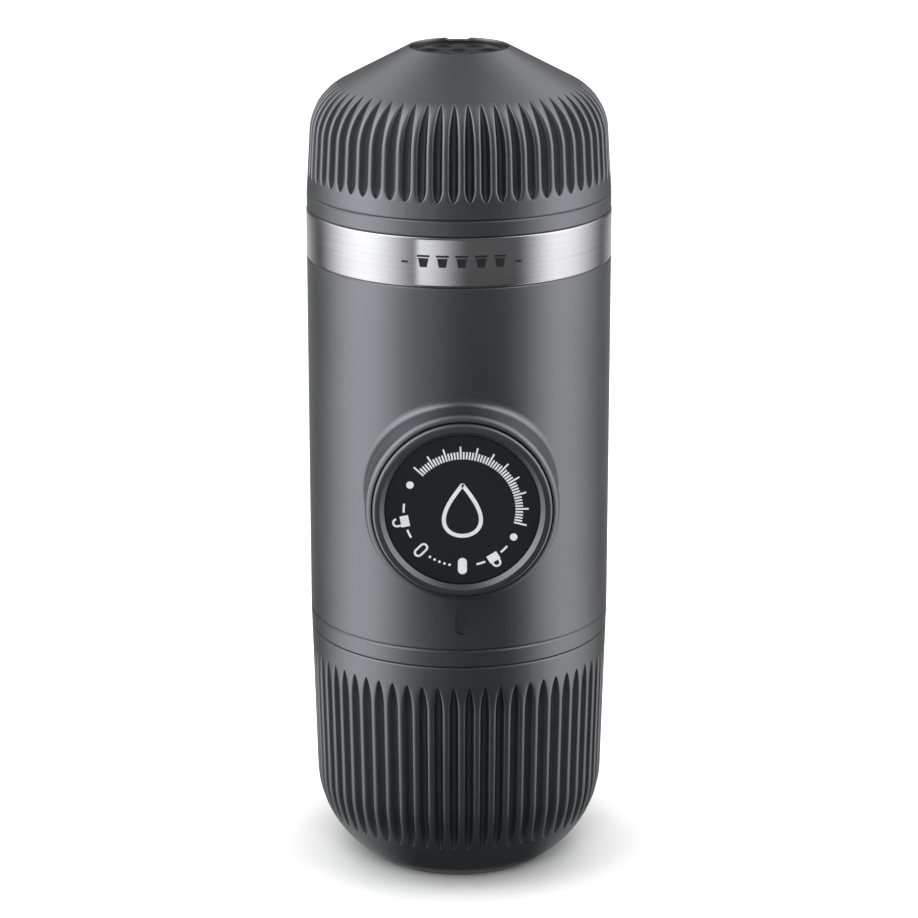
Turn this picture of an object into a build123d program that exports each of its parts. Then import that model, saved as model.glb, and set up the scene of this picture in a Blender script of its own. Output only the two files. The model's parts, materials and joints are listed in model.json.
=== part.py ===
from build123d import *
import os
from math import cos, radians, sin, tan

# A handheld manual espresso maker with a capsule adapter, as it stands on its water tank.
# From the table up: the ribbed tank, the threaded collar, the pump body with the piston knob
# on its side, the adapter with its steel band, and the drinking cup turned over as a lid.
#
# Frame: the origin is the centre of the tank's foot on the table, +Z is up, and the knob
# faces -Y. All sizes are in millimetres, and angles are in degrees.

# ---------------------------------------------------------------- driving dimensions

# Heights of the outer shells, stacked from the table up
tank_height = 50.8
collar_height = 3.8
body_height = 75.4
band_height = 10.0
rim_height = 3.4
cup_height = 29.3

# Outer forms
body_radius = 31.15
seam_step = 0.1
foot_radius = 18.5
heel_height = 19.0
tank_taper = 0.85
cup_taper = 1.15
cup_shoulder_height = 19.0
cup_shoulder_round = 11.5
cup_crown_radius = 10.2
seam_chamfer = 0.35

# Ribs: grooves cut into the tank and the cup
rib_count = 60
groove_radius = 1.08
groove_depth = 1.0
tank_groove_drop = 5.4
tank_groove_fade = 13.7
tank_groove_sweep = 30
cup_groove_bottom = 3.4
cup_groove_fade = 2.4
cup_groove_sweep = 62

# Walls
tank_wall = 2.4
body_wall = 2.0
cup_wall = 2.4
thread_wall = 1.8

# Threads, drawn as rings that clear each other when a piece is lifted off
thread_depth = 0.6
thread_pitch = 2.4
thread_land = 0.7
thread_flank = 0.55
thread_count = 3
adapter_thread_count = 2
head_thread_count = 1

# Clearances
fit = 0.05
seat_gap = 0.1
lift_gap = 0.3
running_gap = 0.3
shaft_gap = 0.06
screw_gap = 0.05
flange_gap = 0.2
insert_gap = 0.1

# Foot of the tank
foot_groove_inset = 3.5
foot_groove_width = 1.5
foot_groove_depth = 0.5

# Tank neck and its seal
neck_height = 8.4
neck_flange_thickness = 2.4
neck_flange_width = 0.9
gasket_width = 1.5
gasket_inset = 0.2

# Collar
collar_sleeve_height = 6.4
collar_sleeve_wall = 1.2

# Pump axis above the body's bottom, and the knob's boss on the body. The boss is rounded at
# its edge before it is bored, so the rounding may be wider than the wall that is left.
pump_axis_rise = 32.2
boss_height = 7.35
boss_wall = 1.2
boss_flare = 1.8
boss_edge = 1.6

# Indicator groove below the knob
indicator_rise = 3.4
indicator_length = 5.6
indicator_width = 2.6
indicator_depth = 0.6

# Knob
knob_radius = 17.8
knob_proud = 1.1
knob_length = 22.0
knob_end_gap = 0.6
knob_guide_overlap = 3.6
knob_wall = 1.7
knob_edge = 0.7
knob_front_wall = 1.6
knob_hub_wall = 1.5
face_radius = 15.4
face_thickness = 1.2
face_recess = 1.0
face_edge = 0.2
bezel_bevel = 0.9

# Travel
stroke = 18.0
knob_turn = 45

# Bayonet lugs in the knob, and the ring with the catches that they turn between
lug_depth = 1.5
lug_length = 3.0
lug_angle = 20
lug_count = 2
stop_angle = 1.5
lock_tube_inner = 12.6
lock_tube_wall = 1.4
lock_flange_thickness = 1.5
lock_flange_radius = 17.0
lock_tube_gap = 2.4
catch_drop = 2.4

# Pump
chassis_plate_thickness = 2.5
chassis_deck_thickness = 3.0
chassis_web_width = 24.0
chassis_web_thickness = 2.5
bore_radius = 7.25
barrel_wall = 2.0
barrel_flange_thickness = 2.0
gland_length = 3.5
piston_gap = 0.1
piston_length = 7.0
piston_stop_gap = 0.2
piston_head_gap = 0.6
rod_radius = 4.0
rod_tail_radius = 2.5
rod_tail_length = 5.3
rod_plate_radius = 12.2
rod_plate_thickness = 1.5
seal_wire_radius = 0.8
seal_spacing = 3.2
seal_groove_extra = 0.15

# Return spring
spring_wire_radius = 0.6
spring_mean_radius = 10.8
spring_turns = 7
thrust_washer_inner = 4.6
thrust_washer_radius = 12.0
thrust_washer_thickness = 0.6

# Pump head with its valves and ducts
head_half_width = 11.0
head_depth = 8.5
head_overlap = 3.0
head_chamber_radius = 4.0
head_chamber_run = 0.6
head_edge = 1.5
duct_radius = 1.8
valve_pocket_radius = 3.2
valve_pocket_depth = 4.5
valve_flange_thickness = 1.0
valve_lip_radius = 2.3
valve_tip_radius = 1.0
valve_slit = 0.3
barrel_seal_wire_radius = 0.4
post_width = 19.0
nozzle_length = 14.0
nozzle_wall = 2.2
nozzle_flange_radius = 6.0
nozzle_flange_thickness = 1.5
nozzle_spigot_length = 5.0
filter_length = 5.0
filter_wall = 0.9
filter_hole_radius = 0.5
filter_hole_ring = 2.4
filter_hole_count = 6
water_duct_wall = 1.2

# Brew socket in the top of the body
socket_clearance_over_boss = 0.5
socket_floor_thickness = 2.3
socket_wall = 1.4
socket_thread_depth = 0.4
socket_flange_thickness = 3.0
socket_ledge = 1.5
brew_gasket_thickness = 1.6
brew_gasket_width = 2.6

# Adapter
adapter_neck_wall = 2.0
adapter_flange_thickness = 2.0
band_wall = 1.55
adapter_skirt_wall = 1.8
adapter_deck_thickness = 2.6
cup_spigot_height = 3.6
cup_spigot_wall = 1.3
head_thread_wall = 2.1
head_thread_height = 6.6
chamber_ledge_depth = 3.6
chamber_gap = 0.6

# Capsule chamber: the seat of a capsule with a 37 mm rim
capsule_rim_radius = 18.5
chamber_rim_width = 1.2
chamber_flange_thickness = 1.8
chamber_seal_thickness = 0.8
capsule_mouth_radius = 15.4
capsule_end_radius = 12.0
capsule_depth = 28.5
chamber_wall = 1.8
chamber_hole_radius = 1.0
chamber_hole_ring = 9.0
chamber_hole_count = 6
needle_plate_thickness = 0.8
needle_count = 3
needle_ring = 6.5
needle_length = 4.5
needle_base_radius = 0.9
needle_tip_radius = 0.15

# Outlet head
head_seal_thickness = 1.85
head_seal_width = 3.0
head_seal_gap = 0.15
head_skirt_gap = 0.8
head_top_thickness = 2.5
head_skirt_wall = 2.1
head_round = 1.6
head_grip_count = 18
head_grip_radius = 1.6
head_grip_depth = 0.6
outlet_plate_thickness = 1.0
outlet_stud_height = 1.0
outlet_stud_half_width = 0.8
outlet_stud_taper = 24
outlet_stud_pitch = 3.2
outlet_stud_rows = 3
outlet_hole_radius = 0.5
funnel_radius = 15.0
funnel_depth = 1.2
spout_bore_radius = 3.2
spout_wall = 1.8
spout_height = 6.0

# Cup's crown and its insert
crown_edge_width = 0.15
crown_recess_depth = 2.2
crown_notch_width = 4.4
crown_notch_depth = 0.5
insert_thickness = 1.3
insert_relief_height = 0.35
insert_ring_radius = 9.2
insert_ring_width = 0.5
insert_bump_ring = 6.4
insert_bump_length = 3.0
insert_bump_width = 1.1
insert_bump_count = 12
insert_button_radius = 2.2

# Screws: head radius, head height and shank radius
chassis_screw = (1.55, 1.4, 0.9)
chassis_screw_length = 11.0
chassis_post_radius = 2.2
chassis_post_height = 10.0
socket_screw = (1.5, 1.2, 0.8)
socket_screw_length = 9.0
socket_post_radius = 1.6
socket_post_height = 12.0
socket_post_sink = 0.45
lock_screw = (1.3, 1.0, 0.8)
lock_screw_length = 5.6
head_screw = (2.2, 1.6, 1.2)
head_screw_length = 27.0
knob_screw = (3.0, 0.7, 1.2)
knob_screw_length = 11.0
knob_washer_radius = 6.4
knob_washer_thickness = 0.8
drive_share = 0.45
lock_screw_count = 3
post_count = 4
post_angle = 45

# ---------------------------------------------------------------- derived heights and radii

collar_bottom = tank_height
body_bottom = collar_bottom + collar_height
body_top = body_bottom + body_height
band_top = body_top + band_height
rim_top = band_top + rim_height

tank_top_radius = body_radius - seam_step
tank_waist_radius = tank_top_radius - tank_taper
tank_groove_top = tank_height - tank_groove_drop
foot_groove_outer = foot_radius - foot_groove_inset
foot_groove_inner = foot_groove_outer - foot_groove_width
rim_radius = body_radius - seam_step
cup_shoulder_radius = rim_radius - cup_taper

body_inner_radius = body_radius - body_wall
deck_bottom = body_bottom + collar_sleeve_height
deck_top = deck_bottom + chassis_deck_thickness
chassis_screw_ring = body_inner_radius - chassis_screw[0] - fit
neck_top = tank_height + neck_height
neck_flange_top = tank_height - seat_gap
neck_flange_bottom = neck_flange_top - neck_flange_thickness
neck_flange_radius = tank_top_radius - tank_wall + neck_flange_width - seat_gap
sleeve_outer_radius = body_inner_radius - fit
sleeve_root_radius = sleeve_outer_radius - collar_sleeve_wall
sleeve_crest_radius = sleeve_root_radius - thread_depth
neck_root_radius = sleeve_crest_radius - lift_gap - thread_depth
neck_inner_radius = neck_root_radius - thread_wall

pump_axis_height = body_bottom + pump_axis_rise
indicator_bottom = body_bottom + indicator_rise
indicator_top = indicator_bottom + indicator_length
boss_reach = body_radius + boss_height
boss_bore_radius = knob_radius + running_gap
boss_radius = boss_bore_radius + boss_wall
knob_inner_radius = knob_radius - knob_wall
knob_reach = boss_reach + knob_proud
knob_end_reach = knob_reach - knob_length
boss_inner_reach = knob_end_reach + knob_guide_overlap
face_seat_reach = knob_reach - face_recess - face_thickness
knob_inner_reach = face_seat_reach - knob_front_wall
hub_radius = knob_washer_radius + 2 * knob_front_wall
hub_outer_reach = face_seat_reach - knob_washer_thickness - knob_screw[1] - 2 * seat_gap
hub_inner_reach = hub_outer_reach - knob_hub_wall
rod_plate_reach = hub_inner_reach - seat_gap
rod_stub_reach = hub_outer_reach + fit

chassis_face_reach = knob_end_reach - knob_end_gap - lock_flange_thickness
lock_tube_reach = knob_inner_reach - lock_tube_gap
catch_reach = lock_tube_reach - catch_drop
lug_tip_radius = knob_inner_radius - lug_depth
lock_tube_outer = lock_tube_inner + lock_tube_wall
catch_radius = knob_inner_radius - running_gap
lock_flange_reach = chassis_face_reach + lock_flange_thickness
lock_screw_ring = (lock_tube_outer + lock_flange_radius) / 2
catch_window = knob_turn + lug_angle + 2 * stop_angle

barrel_radius = bore_radius + barrel_wall
gland_end_reach = chassis_face_reach - gland_length
piston_radius = bore_radius - piston_gap
piston_out_reach = gland_end_reach - piston_stop_gap
piston_reach = piston_out_reach - stroke
piston_end_reach = piston_reach - piston_length
barrel_end_reach = piston_end_reach - piston_head_gap
chassis_back_reach = chassis_face_reach - chassis_plate_thickness
barrel_flange_end = chassis_back_reach - barrel_flange_thickness
head_front_reach = barrel_end_reach + head_overlap
head_end_reach = barrel_end_reach - head_depth
barrel_seal_reach = (barrel_end_reach + head_front_reach) / 2
duct_reach = (barrel_end_reach + head_end_reach) / 2
duct_y = -duct_reach
pump_head_bottom = pump_axis_height - head_half_width
pump_head_top = pump_axis_height + head_half_width
head_screw_x = head_half_width - head_screw[0] - fit
spring_start = chassis_face_reach + thrust_washer_thickness
spring_end = rod_plate_reach - rod_plate_thickness

socket_bottom = pump_axis_height + boss_radius + socket_clearance_over_boss
socket_floor_top = socket_bottom + socket_floor_thickness
socket_flange_bottom = body_top - socket_flange_thickness
socket_flange_radius = body_radius - socket_ledge
socket_thread_bottom = socket_flange_bottom - thread_pitch * thread_count
socket_screw_ring = body_inner_radius - socket_post_radius + socket_post_sink
socket_outer_radius = socket_screw_ring - socket_post_radius - seat_gap
socket_inner_radius = socket_outer_radius - socket_wall
socket_crest_radius = socket_inner_radius - socket_thread_depth
adapter_neck_radius = socket_crest_radius - lift_gap - thread_depth
adapter_neck_bottom = socket_floor_top + brew_gasket_thickness + seat_gap
adapter_flange_top = body_top + adapter_flange_thickness
band_seat_radius = body_radius - band_wall
deck_underside = rim_top - adapter_deck_thickness
cup_spigot_radius = rim_radius - cup_wall - lift_gap
chamber_flange_radius = capsule_rim_radius + chamber_rim_width
chamber_ledge_radius = capsule_mouth_radius + chamber_wall + chamber_gap
head_thread_top = rim_top + head_thread_height
head_thread_inner = chamber_flange_radius + flange_gap
head_thread_radius = head_thread_inner + head_thread_wall
chamber_ledge_top = head_thread_top - chamber_ledge_depth
chamber_flange_bottom = chamber_ledge_top + chamber_seal_thickness
chamber_top = chamber_flange_bottom + chamber_flange_thickness
capsule_floor = chamber_top - capsule_depth
chamber_bottom = capsule_floor - chamber_wall
head_face = chamber_top + head_seal_thickness + head_seal_gap
head_seal_radius = chamber_flange_radius - seat_gap
outlet_plate_radius = head_seal_radius - head_seal_width - fit
outlet_top = head_face + head_top_thickness
head_skirt_inner = head_thread_radius + 2 * thread_depth + lift_gap
head_skirt_radius = head_skirt_inner + head_skirt_wall
head_skirt_bottom = rim_top + head_skirt_gap
spout_radius = spout_bore_radius + spout_wall
spout_top = outlet_top + spout_height
crown_recess_floor = cup_height - crown_recess_depth
crown_recess_radius = cup_crown_radius - crown_edge_width
crown_floor = crown_recess_floor - cup_wall

# ---------------------------------------------------------------- drawing helpers

from_below = (Align.CENTER, Align.CENTER, Align.MIN)
from_front = (Align.CENTER, Align.MIN, Align.MAX)
pump_frame = Plane(origin=(0, 0, pump_axis_height), x_dir=(1, 0, 0), z_dir=(0, -1, 0)).location


def revolved(*runs, arc=360):
    """Turn a closed outline of (radius, height) runs about the vertical axis."""
    return revolve(Plane.XZ * make_face(list(runs)), Axis.Z, revolution_arc=arc)


def turned(*points, arc=360):
    """Turn a closed outline of straight runs through (radius, height) points."""
    return revolved(Polyline(*points, close=True), arc=arc)


def disc(radius, bottom, top):
    """A round bar about the vertical axis."""
    return Pos(0, 0, bottom) * Cylinder(radius, top - bottom, align=from_below)


def ring(inner, outer, bottom, top):
    """A plain ring about the vertical axis."""
    return disc(outer, bottom, top) - disc(inner, bottom, top)


def around(shape, count, first=0.0):
    """Copies of a shape, spread evenly about the vertical axis."""
    return [Rot(0, 0, first + 360 / count * index) * shape for index in range(count)]


def in_pump(shape):
    """Place a shape drawn about the vertical axis on the pump axis, with its top outwards."""
    return pump_frame * shape


def inset(points, wall):
    """Draw an open outline in by a wall, with its runs kept parallel."""
    points = [Vector(*point) for point in points]
    runs = [(end - start).normalized() for start, end in zip(points, points[1:])]
    moved = []
    for point, before, after in zip(points, [runs[0]] + runs, runs + [runs[-1]]):
        inward = Vector(-before.Y - after.Y, before.X + after.X).normalized()
        moved.append(point + inward * (wall / inward.dot(Vector(-before.Y, before.X))))
    return moved


def circles_of(shape, radius):
    """The circular edges of a shape that have a given radius."""
    circles = shape.edges().filter_by(GeomType.CIRCLE)
    return circles.filter_by(lambda edge: abs(edge.radius - radius) < fit)


def thread_rings(root, crest, first, count=thread_count):
    """Rings of a thread, from their root radius to their crest radius."""
    rings = []
    for index in range(count):
        bottom = first + thread_pitch * index
        rings.append(turned(
            (root, bottom),
            (crest, bottom + thread_flank),
            (crest, bottom + thread_flank + thread_land),
            (root, bottom + 2 * thread_flank + thread_land),
        ))
    return rings


def screw(size, length):
    """A screw that points down from the origin, with its head above and a hexagon drive."""
    head_radius, head_height, shank_radius = size
    body = disc(head_radius, 0, head_height) + disc(shank_radius, -length, 0)
    drive = extrude(RegularPolygon(head_radius * drive_share, 6), head_height / 2)
    return body - Pos(0, 0, head_height / 2) * drive


def screw_hole(size, length):
    """The room that a screw's shank needs below the origin."""
    return disc(size[2] + screw_gap, -length - screw_gap, screw_gap)


def sunk_hole(size, length):
    """The room that a screw needs with its head sunk above the origin."""
    return screw_hole(size, length) + disc(size[0] + screw_gap, 0, size[1] + screw_gap)


def groove_bar(start, straight_end, sweep_angle, bend_radius):
    """A round bar that cuts one rib groove: a straight run, then a bend that leaves the wall."""
    run = Line(start, straight_end)
    bend = JernArc(run @ 1, run % 1, bend_radius, sweep_angle)
    path = Wire([*(Plane.XZ * run).edges(), *(Plane.XZ * bend).edges()])
    bar = sweep(Plane(origin=path @ 0, z_dir=path % 0) * Circle(groove_radius), path=path)
    return bar + Pos(*(path @ 0)) * Sphere(groove_radius)


# ---------------------------------------------------------------- tank


def tank_form(wall):
    """The tank's outer form up to its top, or the same form drawn in by a wall."""
    top = Vector(tank_top_radius - wall, tank_height)
    waist = Vector(tank_waist_radius - wall, heel_height)
    foot = Vector(foot_radius - wall / 2, wall)
    side = Line(top, waist)
    heel = TangentArc(waist, foot, tangent=side % 1)
    return revolved(side, heel, Polyline(foot, (0, wall), (0, tank_height), top))


def tank_ribs():
    """Bars for the grooves around the tank, which fade out over its rounded heel."""
    lift = groove_radius - groove_depth
    slope = (tank_top_radius - tank_waist_radius) / (tank_height - heel_height)
    top_height = tank_groove_top - groove_radius
    top = (tank_waist_radius + slope * (top_height - heel_height) + lift, top_height)
    waist = (tank_waist_radius + lift, heel_height)
    heel_round = TangentArc(
        (tank_waist_radius, heel_height), (foot_radius, 0), tangent=(-slope, -1)
    ).radius
    bar = groove_bar(top, waist, -tank_groove_sweep, heel_round + lift + tank_groove_fade)
    return around(bar, rib_count, first=180 / rib_count)


def make_water_tank():
    shell = tank_form(0) - tank_form(tank_wall)
    shell -= disc(neck_flange_radius + fit, neck_flange_bottom, tank_height)
    shell -= ring(foot_groove_inner, foot_groove_outer, 0, foot_groove_depth)
    edge = seam_chamfer
    shell -= turned(
        (tank_top_radius - edge, tank_height),
        (tank_top_radius + edge, tank_height),
        (tank_top_radius + edge, tank_height - 2 * edge),
    )
    return shell - tank_ribs()


def make_tank_neck():
    neck = ring(neck_inner_radius, neck_flange_radius, neck_flange_bottom, neck_flange_top)
    neck += ring(neck_inner_radius, neck_root_radius, neck_flange_bottom, neck_top)
    crest = neck_root_radius + thread_depth
    return neck + thread_rings(neck_root_radius, crest, neck_flange_top + thread_land)


def make_tank_gasket():
    inner = neck_inner_radius - gasket_inset
    return ring(inner, inner + gasket_width, neck_top + seat_gap, deck_bottom)


# ---------------------------------------------------------------- body


def make_base_collar():
    edge = seam_chamfer
    top = deck_bottom
    collar = turned(
        (sleeve_root_radius, collar_bottom),
        (tank_top_radius - edge, collar_bottom),
        (tank_top_radius, collar_bottom + edge),
        (body_radius, body_bottom - edge),
        (body_radius - edge, body_bottom),
        (sleeve_outer_radius, body_bottom),
        (sleeve_outer_radius, top),
        (sleeve_root_radius, top),
    )
    first = body_bottom - thread_land
    return collar + thread_rings(sleeve_root_radius, sleeve_crest_radius, first)


def body_posts(radius, ring_radius, bottom, height):
    """Screw posts on the inside of the body's wall."""
    post = Pos(ring_radius, 0, 0) * disc(radius, bottom, bottom + height)
    return around(post, post_count, first=post_angle)


def make_main_body():
    form = disc(body_radius, body_bottom, body_top)
    form += in_pump(disc(boss_radius, 0, boss_reach))
    joint = form.edges().filter_by(GeomType.BSPLINE)
    form = fillet(joint, boss_flare)
    rim = form.edges().filter_by(GeomType.CIRCLE).sort_by(Axis.Y)[0]
    form = fillet(rim, boss_edge)
    form = chamfer(circles_of(form, body_radius), seam_chamfer)

    room = disc(body_inner_radius, body_bottom, body_top)
    room -= in_pump(disc(boss_radius, boss_inner_reach, boss_reach))
    room -= body_posts(chassis_post_radius, chassis_screw_ring, deck_top, chassis_post_height)
    socket_bottom_of_posts = socket_flange_bottom - socket_post_height
    room -= body_posts(
        socket_post_radius, socket_screw_ring, socket_bottom_of_posts, socket_post_height
    )
    shell = form - room
    shell -= disc(socket_flange_radius + fit, socket_flange_bottom, body_top)
    shell -= in_pump(disc(boss_bore_radius, 0, boss_reach))
    shell -= at_chassis_screws(screw_hole(chassis_screw, chassis_screw_length))
    shell -= at_socket_screws(screw_hole(socket_screw, socket_screw_length))
    return shell - indicator()


def at_chassis_screws(shape):
    """Copies of a shape at the screws that point up through the deck."""
    seat = Pos(chassis_screw_ring, 0, deck_bottom + chassis_screw[1]) * Rot(180, 0, 0)
    return around(seat * shape, post_count, first=post_angle)


def at_socket_screws(shape):
    """Copies of a shape at the screws that hold the brew socket from above."""
    seat = Pos(socket_screw_ring, 0, body_top - socket_screw[1] - fit)
    return around(seat * shape, post_count, first=post_angle)


def at_lock_screws(shape):
    """Copies of a shape at the screws that clamp the lock ring, the plate and the barrel."""
    seat = Pos(lock_screw_ring, 0, lock_flange_reach - lock_screw[1])
    turns = around(seat * shape, lock_screw_count, first=2 * post_angle)
    return [in_pump(turn) for turn in turns]


def at_head_screws(shape):
    """Copies of a shape at the screws that hold the pump head on its post."""
    return [Pos(side * head_screw_x, duct_y, pump_head_top) * shape for side in (-1, 1)]


def indicator():
    """A capsule-shaped groove in the body's wall, in line with the knob."""
    slot = extrude(SlotOverall(indicator_length, indicator_width, rotation=90), body_wall)
    middle = (indicator_top + indicator_bottom) / 2
    wall = Plane(origin=(0, indicator_depth - body_radius, middle), x_dir=(1, 0, 0),
                 z_dir=(0, -1, 0))
    return wall.location * slot


# ---------------------------------------------------------------- chassis


def make_pump_chassis():
    """The deck that closes the tank, with the front plate and the rear post on it."""
    deck = disc(sleeve_outer_radius, deck_bottom, deck_top)
    plate = in_pump(disc(boss_radius + running_gap, chassis_back_reach, chassis_face_reach))
    web_height = pump_axis_height - deck_top
    plate_middle = (chassis_back_reach + chassis_face_reach) / 2
    web = Box(chassis_web_width, chassis_plate_thickness, web_height, align=from_below)
    post = Box(post_width, head_depth, pump_head_bottom - deck_top, align=from_below)
    rib_length = duct_y + plate_middle
    rib_height = pump_axis_height - lock_flange_radius - deck_top - seat_gap
    rib = Box(chassis_web_thickness, rib_length, rib_height, align=from_below)
    chassis = deck + plate
    chassis += Pos(0, -plate_middle, deck_top) * web
    chassis += Pos(0, duct_y, deck_top) * post
    chassis += Pos(0, (duct_y - plate_middle) / 2, deck_top) * rib
    chassis -= in_pump(disc(barrel_radius + fit, barrel_flange_end, chassis_face_reach))
    chassis -= Pos(0, duct_y, 0) * disc(duct_radius, deck_bottom, pump_head_bottom)
    spigot_radius = duct_radius + nozzle_wall
    spigot_top = deck_bottom + nozzle_spigot_length
    chassis -= Pos(0, duct_y, 0) * disc(spigot_radius + fit, deck_bottom, spigot_top)
    chassis -= at_lock_screws(screw_hole(lock_screw, lock_screw_length))
    chassis -= at_head_screws(screw_hole(head_screw, head_screw_length))
    return chassis - at_chassis_screws(sunk_hole(chassis_screw, chassis_screw_length))


def make_chassis_screws():
    return Compound(children=at_chassis_screws(screw(chassis_screw, chassis_screw_length)))


def make_inlet_nozzle():
    """The suction pipe under the deck, with its spigot in the chassis."""
    radius = duct_radius + nozzle_wall
    bottom = deck_bottom - nozzle_length
    pipe = disc(radius, bottom, deck_bottom + nozzle_spigot_length - seat_gap)
    flange_bottom = deck_bottom - nozzle_flange_thickness
    pipe += disc(nozzle_flange_radius, flange_bottom, deck_bottom)
    pipe -= disc(duct_radius, bottom, deck_bottom + nozzle_spigot_length)
    return Pos(0, duct_y, 0) * pipe


def make_inlet_filter():
    """A cap with a perforated end over the suction pipe."""
    inner = duct_radius + nozzle_wall + fit
    outer = inner + filter_wall
    end = deck_bottom - nozzle_length
    cap = disc(outer, end - filter_wall, end + filter_length)
    cap -= disc(inner, end, end + filter_length)
    hole = Pos(filter_hole_ring, 0, 0) * disc(filter_hole_radius, end - filter_wall, end)
    cap -= around(hole, filter_hole_count)
    return Pos(0, duct_y, 0) * (cap - disc(filter_hole_radius, end - filter_wall, end))


# ---------------------------------------------------------------- pump


def make_pump_barrel():
    barrel = disc(barrel_radius, barrel_end_reach, chassis_face_reach)
    barrel += disc(lock_flange_radius, barrel_flange_end, chassis_back_reach)
    barrel -= disc(bore_radius, barrel_end_reach, chassis_face_reach)
    groove = ring(
        barrel_radius - 2 * barrel_seal_wire_radius, barrel_radius,
        barrel_seal_reach - barrel_seal_wire_radius - fit,
        barrel_seal_reach + barrel_seal_wire_radius + fit,
    )
    return in_pump(barrel - groove) - at_lock_screws(screw_hole(lock_screw, lock_screw_length))


def make_barrel_seal():
    seal = Torus(barrel_radius - barrel_seal_wire_radius, barrel_seal_wire_radius)
    return in_pump(Pos(0, 0, barrel_seal_reach) * seal)


def make_gland_bush():
    return in_pump(ring(
        rod_radius + shaft_gap, bore_radius - fit, gland_end_reach, chassis_face_reach
    ))


def make_thrust_washer():
    """The spring's seat, which also keeps the bush in the barrel."""
    return in_pump(ring(
        thrust_washer_inner, thrust_washer_radius, chassis_face_reach, spring_start
    ))


def make_pump_head():
    """The block behind the barrel, with the cross duct and a pocket for each valve."""
    width = 2 * head_half_width
    length = head_front_reach - head_end_reach
    block = Pos(0, 0, head_end_reach) * Box(width, width, length, align=from_below)
    block = fillet(block.edges().filter_by(Axis.Z), head_edge)
    block -= disc(barrel_radius + fit, barrel_end_reach, head_front_reach)
    chamber_end = duct_reach - duct_radius - head_chamber_run
    block -= disc(head_chamber_radius, chamber_end, barrel_end_reach)
    head = in_pump(block)
    duct = disc(duct_radius, pump_head_bottom, pump_head_top)
    pockets = disc(valve_pocket_radius, pump_head_bottom, pump_head_bottom + valve_pocket_depth)
    pockets += disc(valve_pocket_radius, pump_head_top - valve_pocket_depth, pump_head_top)
    head -= Pos(0, duct_y, 0) * (duct + pockets)
    return head - at_head_screws(screw_hole(head_screw, head_screw_length))


def make_head_screws():
    return Compound(children=at_head_screws(screw(head_screw, head_screw_length)))


def duckbill_valve(bottom):
    """A rubber one-way valve that opens upwards."""
    lip_bottom = bottom + valve_flange_thickness
    tip = bottom + valve_pocket_depth - seat_gap
    flange_radius = valve_pocket_radius - fit
    outer = turned(
        (0, bottom), (flange_radius, bottom), (flange_radius, lip_bottom),
        (valve_lip_radius, lip_bottom), (valve_tip_radius, tip), (0, tip),
    )
    room = turned(
        (0, bottom), (duct_radius, bottom),
        (valve_tip_radius / 2, tip - valve_flange_thickness), (0, tip - valve_flange_thickness),
    )
    slit = Pos(0, 0, tip) * Box(2 * valve_tip_radius, valve_slit, 2 * valve_flange_thickness)
    return Pos(0, duct_y, 0) * (outer - room - slit)


def make_inlet_valve():
    return duckbill_valve(pump_head_bottom)


def make_outlet_valve():
    return duckbill_valve(pump_head_top - valve_pocket_depth)


def make_water_duct():
    pipe = ring(duct_radius, duct_radius + water_duct_wall, pump_head_top, socket_bottom)
    return Pos(0, duct_y, 0) * pipe


def seal_reaches():
    """Where the piston's two seals sit along the pump axis."""
    middle = (piston_reach + piston_end_reach) / 2
    return [middle - seal_spacing / 2, middle + seal_spacing / 2]


def make_piston():
    piston = disc(piston_radius, piston_end_reach, piston_reach)
    piston -= disc(rod_tail_radius + fit, piston_reach - rod_tail_length - fit, piston_reach)
    inner = piston_radius - 2 * seal_wire_radius
    half = seal_wire_radius + seal_groove_extra
    for reach in seal_reaches():
        piston -= ring(inner, piston_radius, reach - half, reach + half)
    return in_pump(piston)


def make_piston_seals():
    seal = Torus(piston_radius - seal_wire_radius + fit, seal_wire_radius)
    return Compound(children=[in_pump(Pos(0, 0, reach) * seal) for reach in seal_reaches()])


def make_plunger_rod():
    """The rod with the plate that the spring pushes on and the stub that the knob turns on."""
    rod = disc(rod_tail_radius, piston_reach - rod_tail_length, piston_reach)
    rod += disc(rod_radius, piston_reach, rod_stub_reach)
    rod += disc(rod_plate_radius, spring_end, rod_plate_reach)
    tip = Pos(0, 0, rod_stub_reach + knob_washer_thickness)
    return in_pump(rod - tip * screw_hole(knob_screw, knob_screw_length))


def make_return_spring():
    start = spring_start + spring_wire_radius + fit
    height = spring_end - start - spring_wire_radius - fit
    path = Helix(height / spring_turns, height, spring_mean_radius)
    wire = Plane(origin=path @ 0, z_dir=path % 0) * Circle(spring_wire_radius)
    return in_pump(Pos(0, 0, start) * sweep(wire, path=path))


def make_lock_ring():
    """The tube around the spring, with catches that the knob's lugs turn between."""
    tube = ring(lock_tube_inner, lock_tube_outer, chassis_face_reach, lock_tube_reach)
    tube += ring(lock_tube_inner, lock_flange_radius, chassis_face_reach, lock_flange_reach)
    section = (
        (lock_tube_outer - fit, lock_flange_reach), (catch_radius, lock_flange_reach),
        (catch_radius, catch_reach), (lock_tube_outer - fit, catch_reach),
    )
    catch = turned(*section, arc=360 / lug_count - catch_window)
    start = knob_turn + lug_angle / 2 + stop_angle
    tube += around(catch, lug_count, first=start)
    return in_pump(tube) - at_lock_screws(sunk_hole(lock_screw, lock_screw_length))


def make_lock_screws():
    return Compound(children=at_lock_screws(screw(lock_screw, lock_screw_length)))


def make_knob_guide():
    """The slide bearing behind the boss that the knob's skirt runs in."""
    return in_pump(ring(boss_bore_radius, boss_radius, chassis_face_reach, boss_inner_reach))


# ---------------------------------------------------------------- knob


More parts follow.
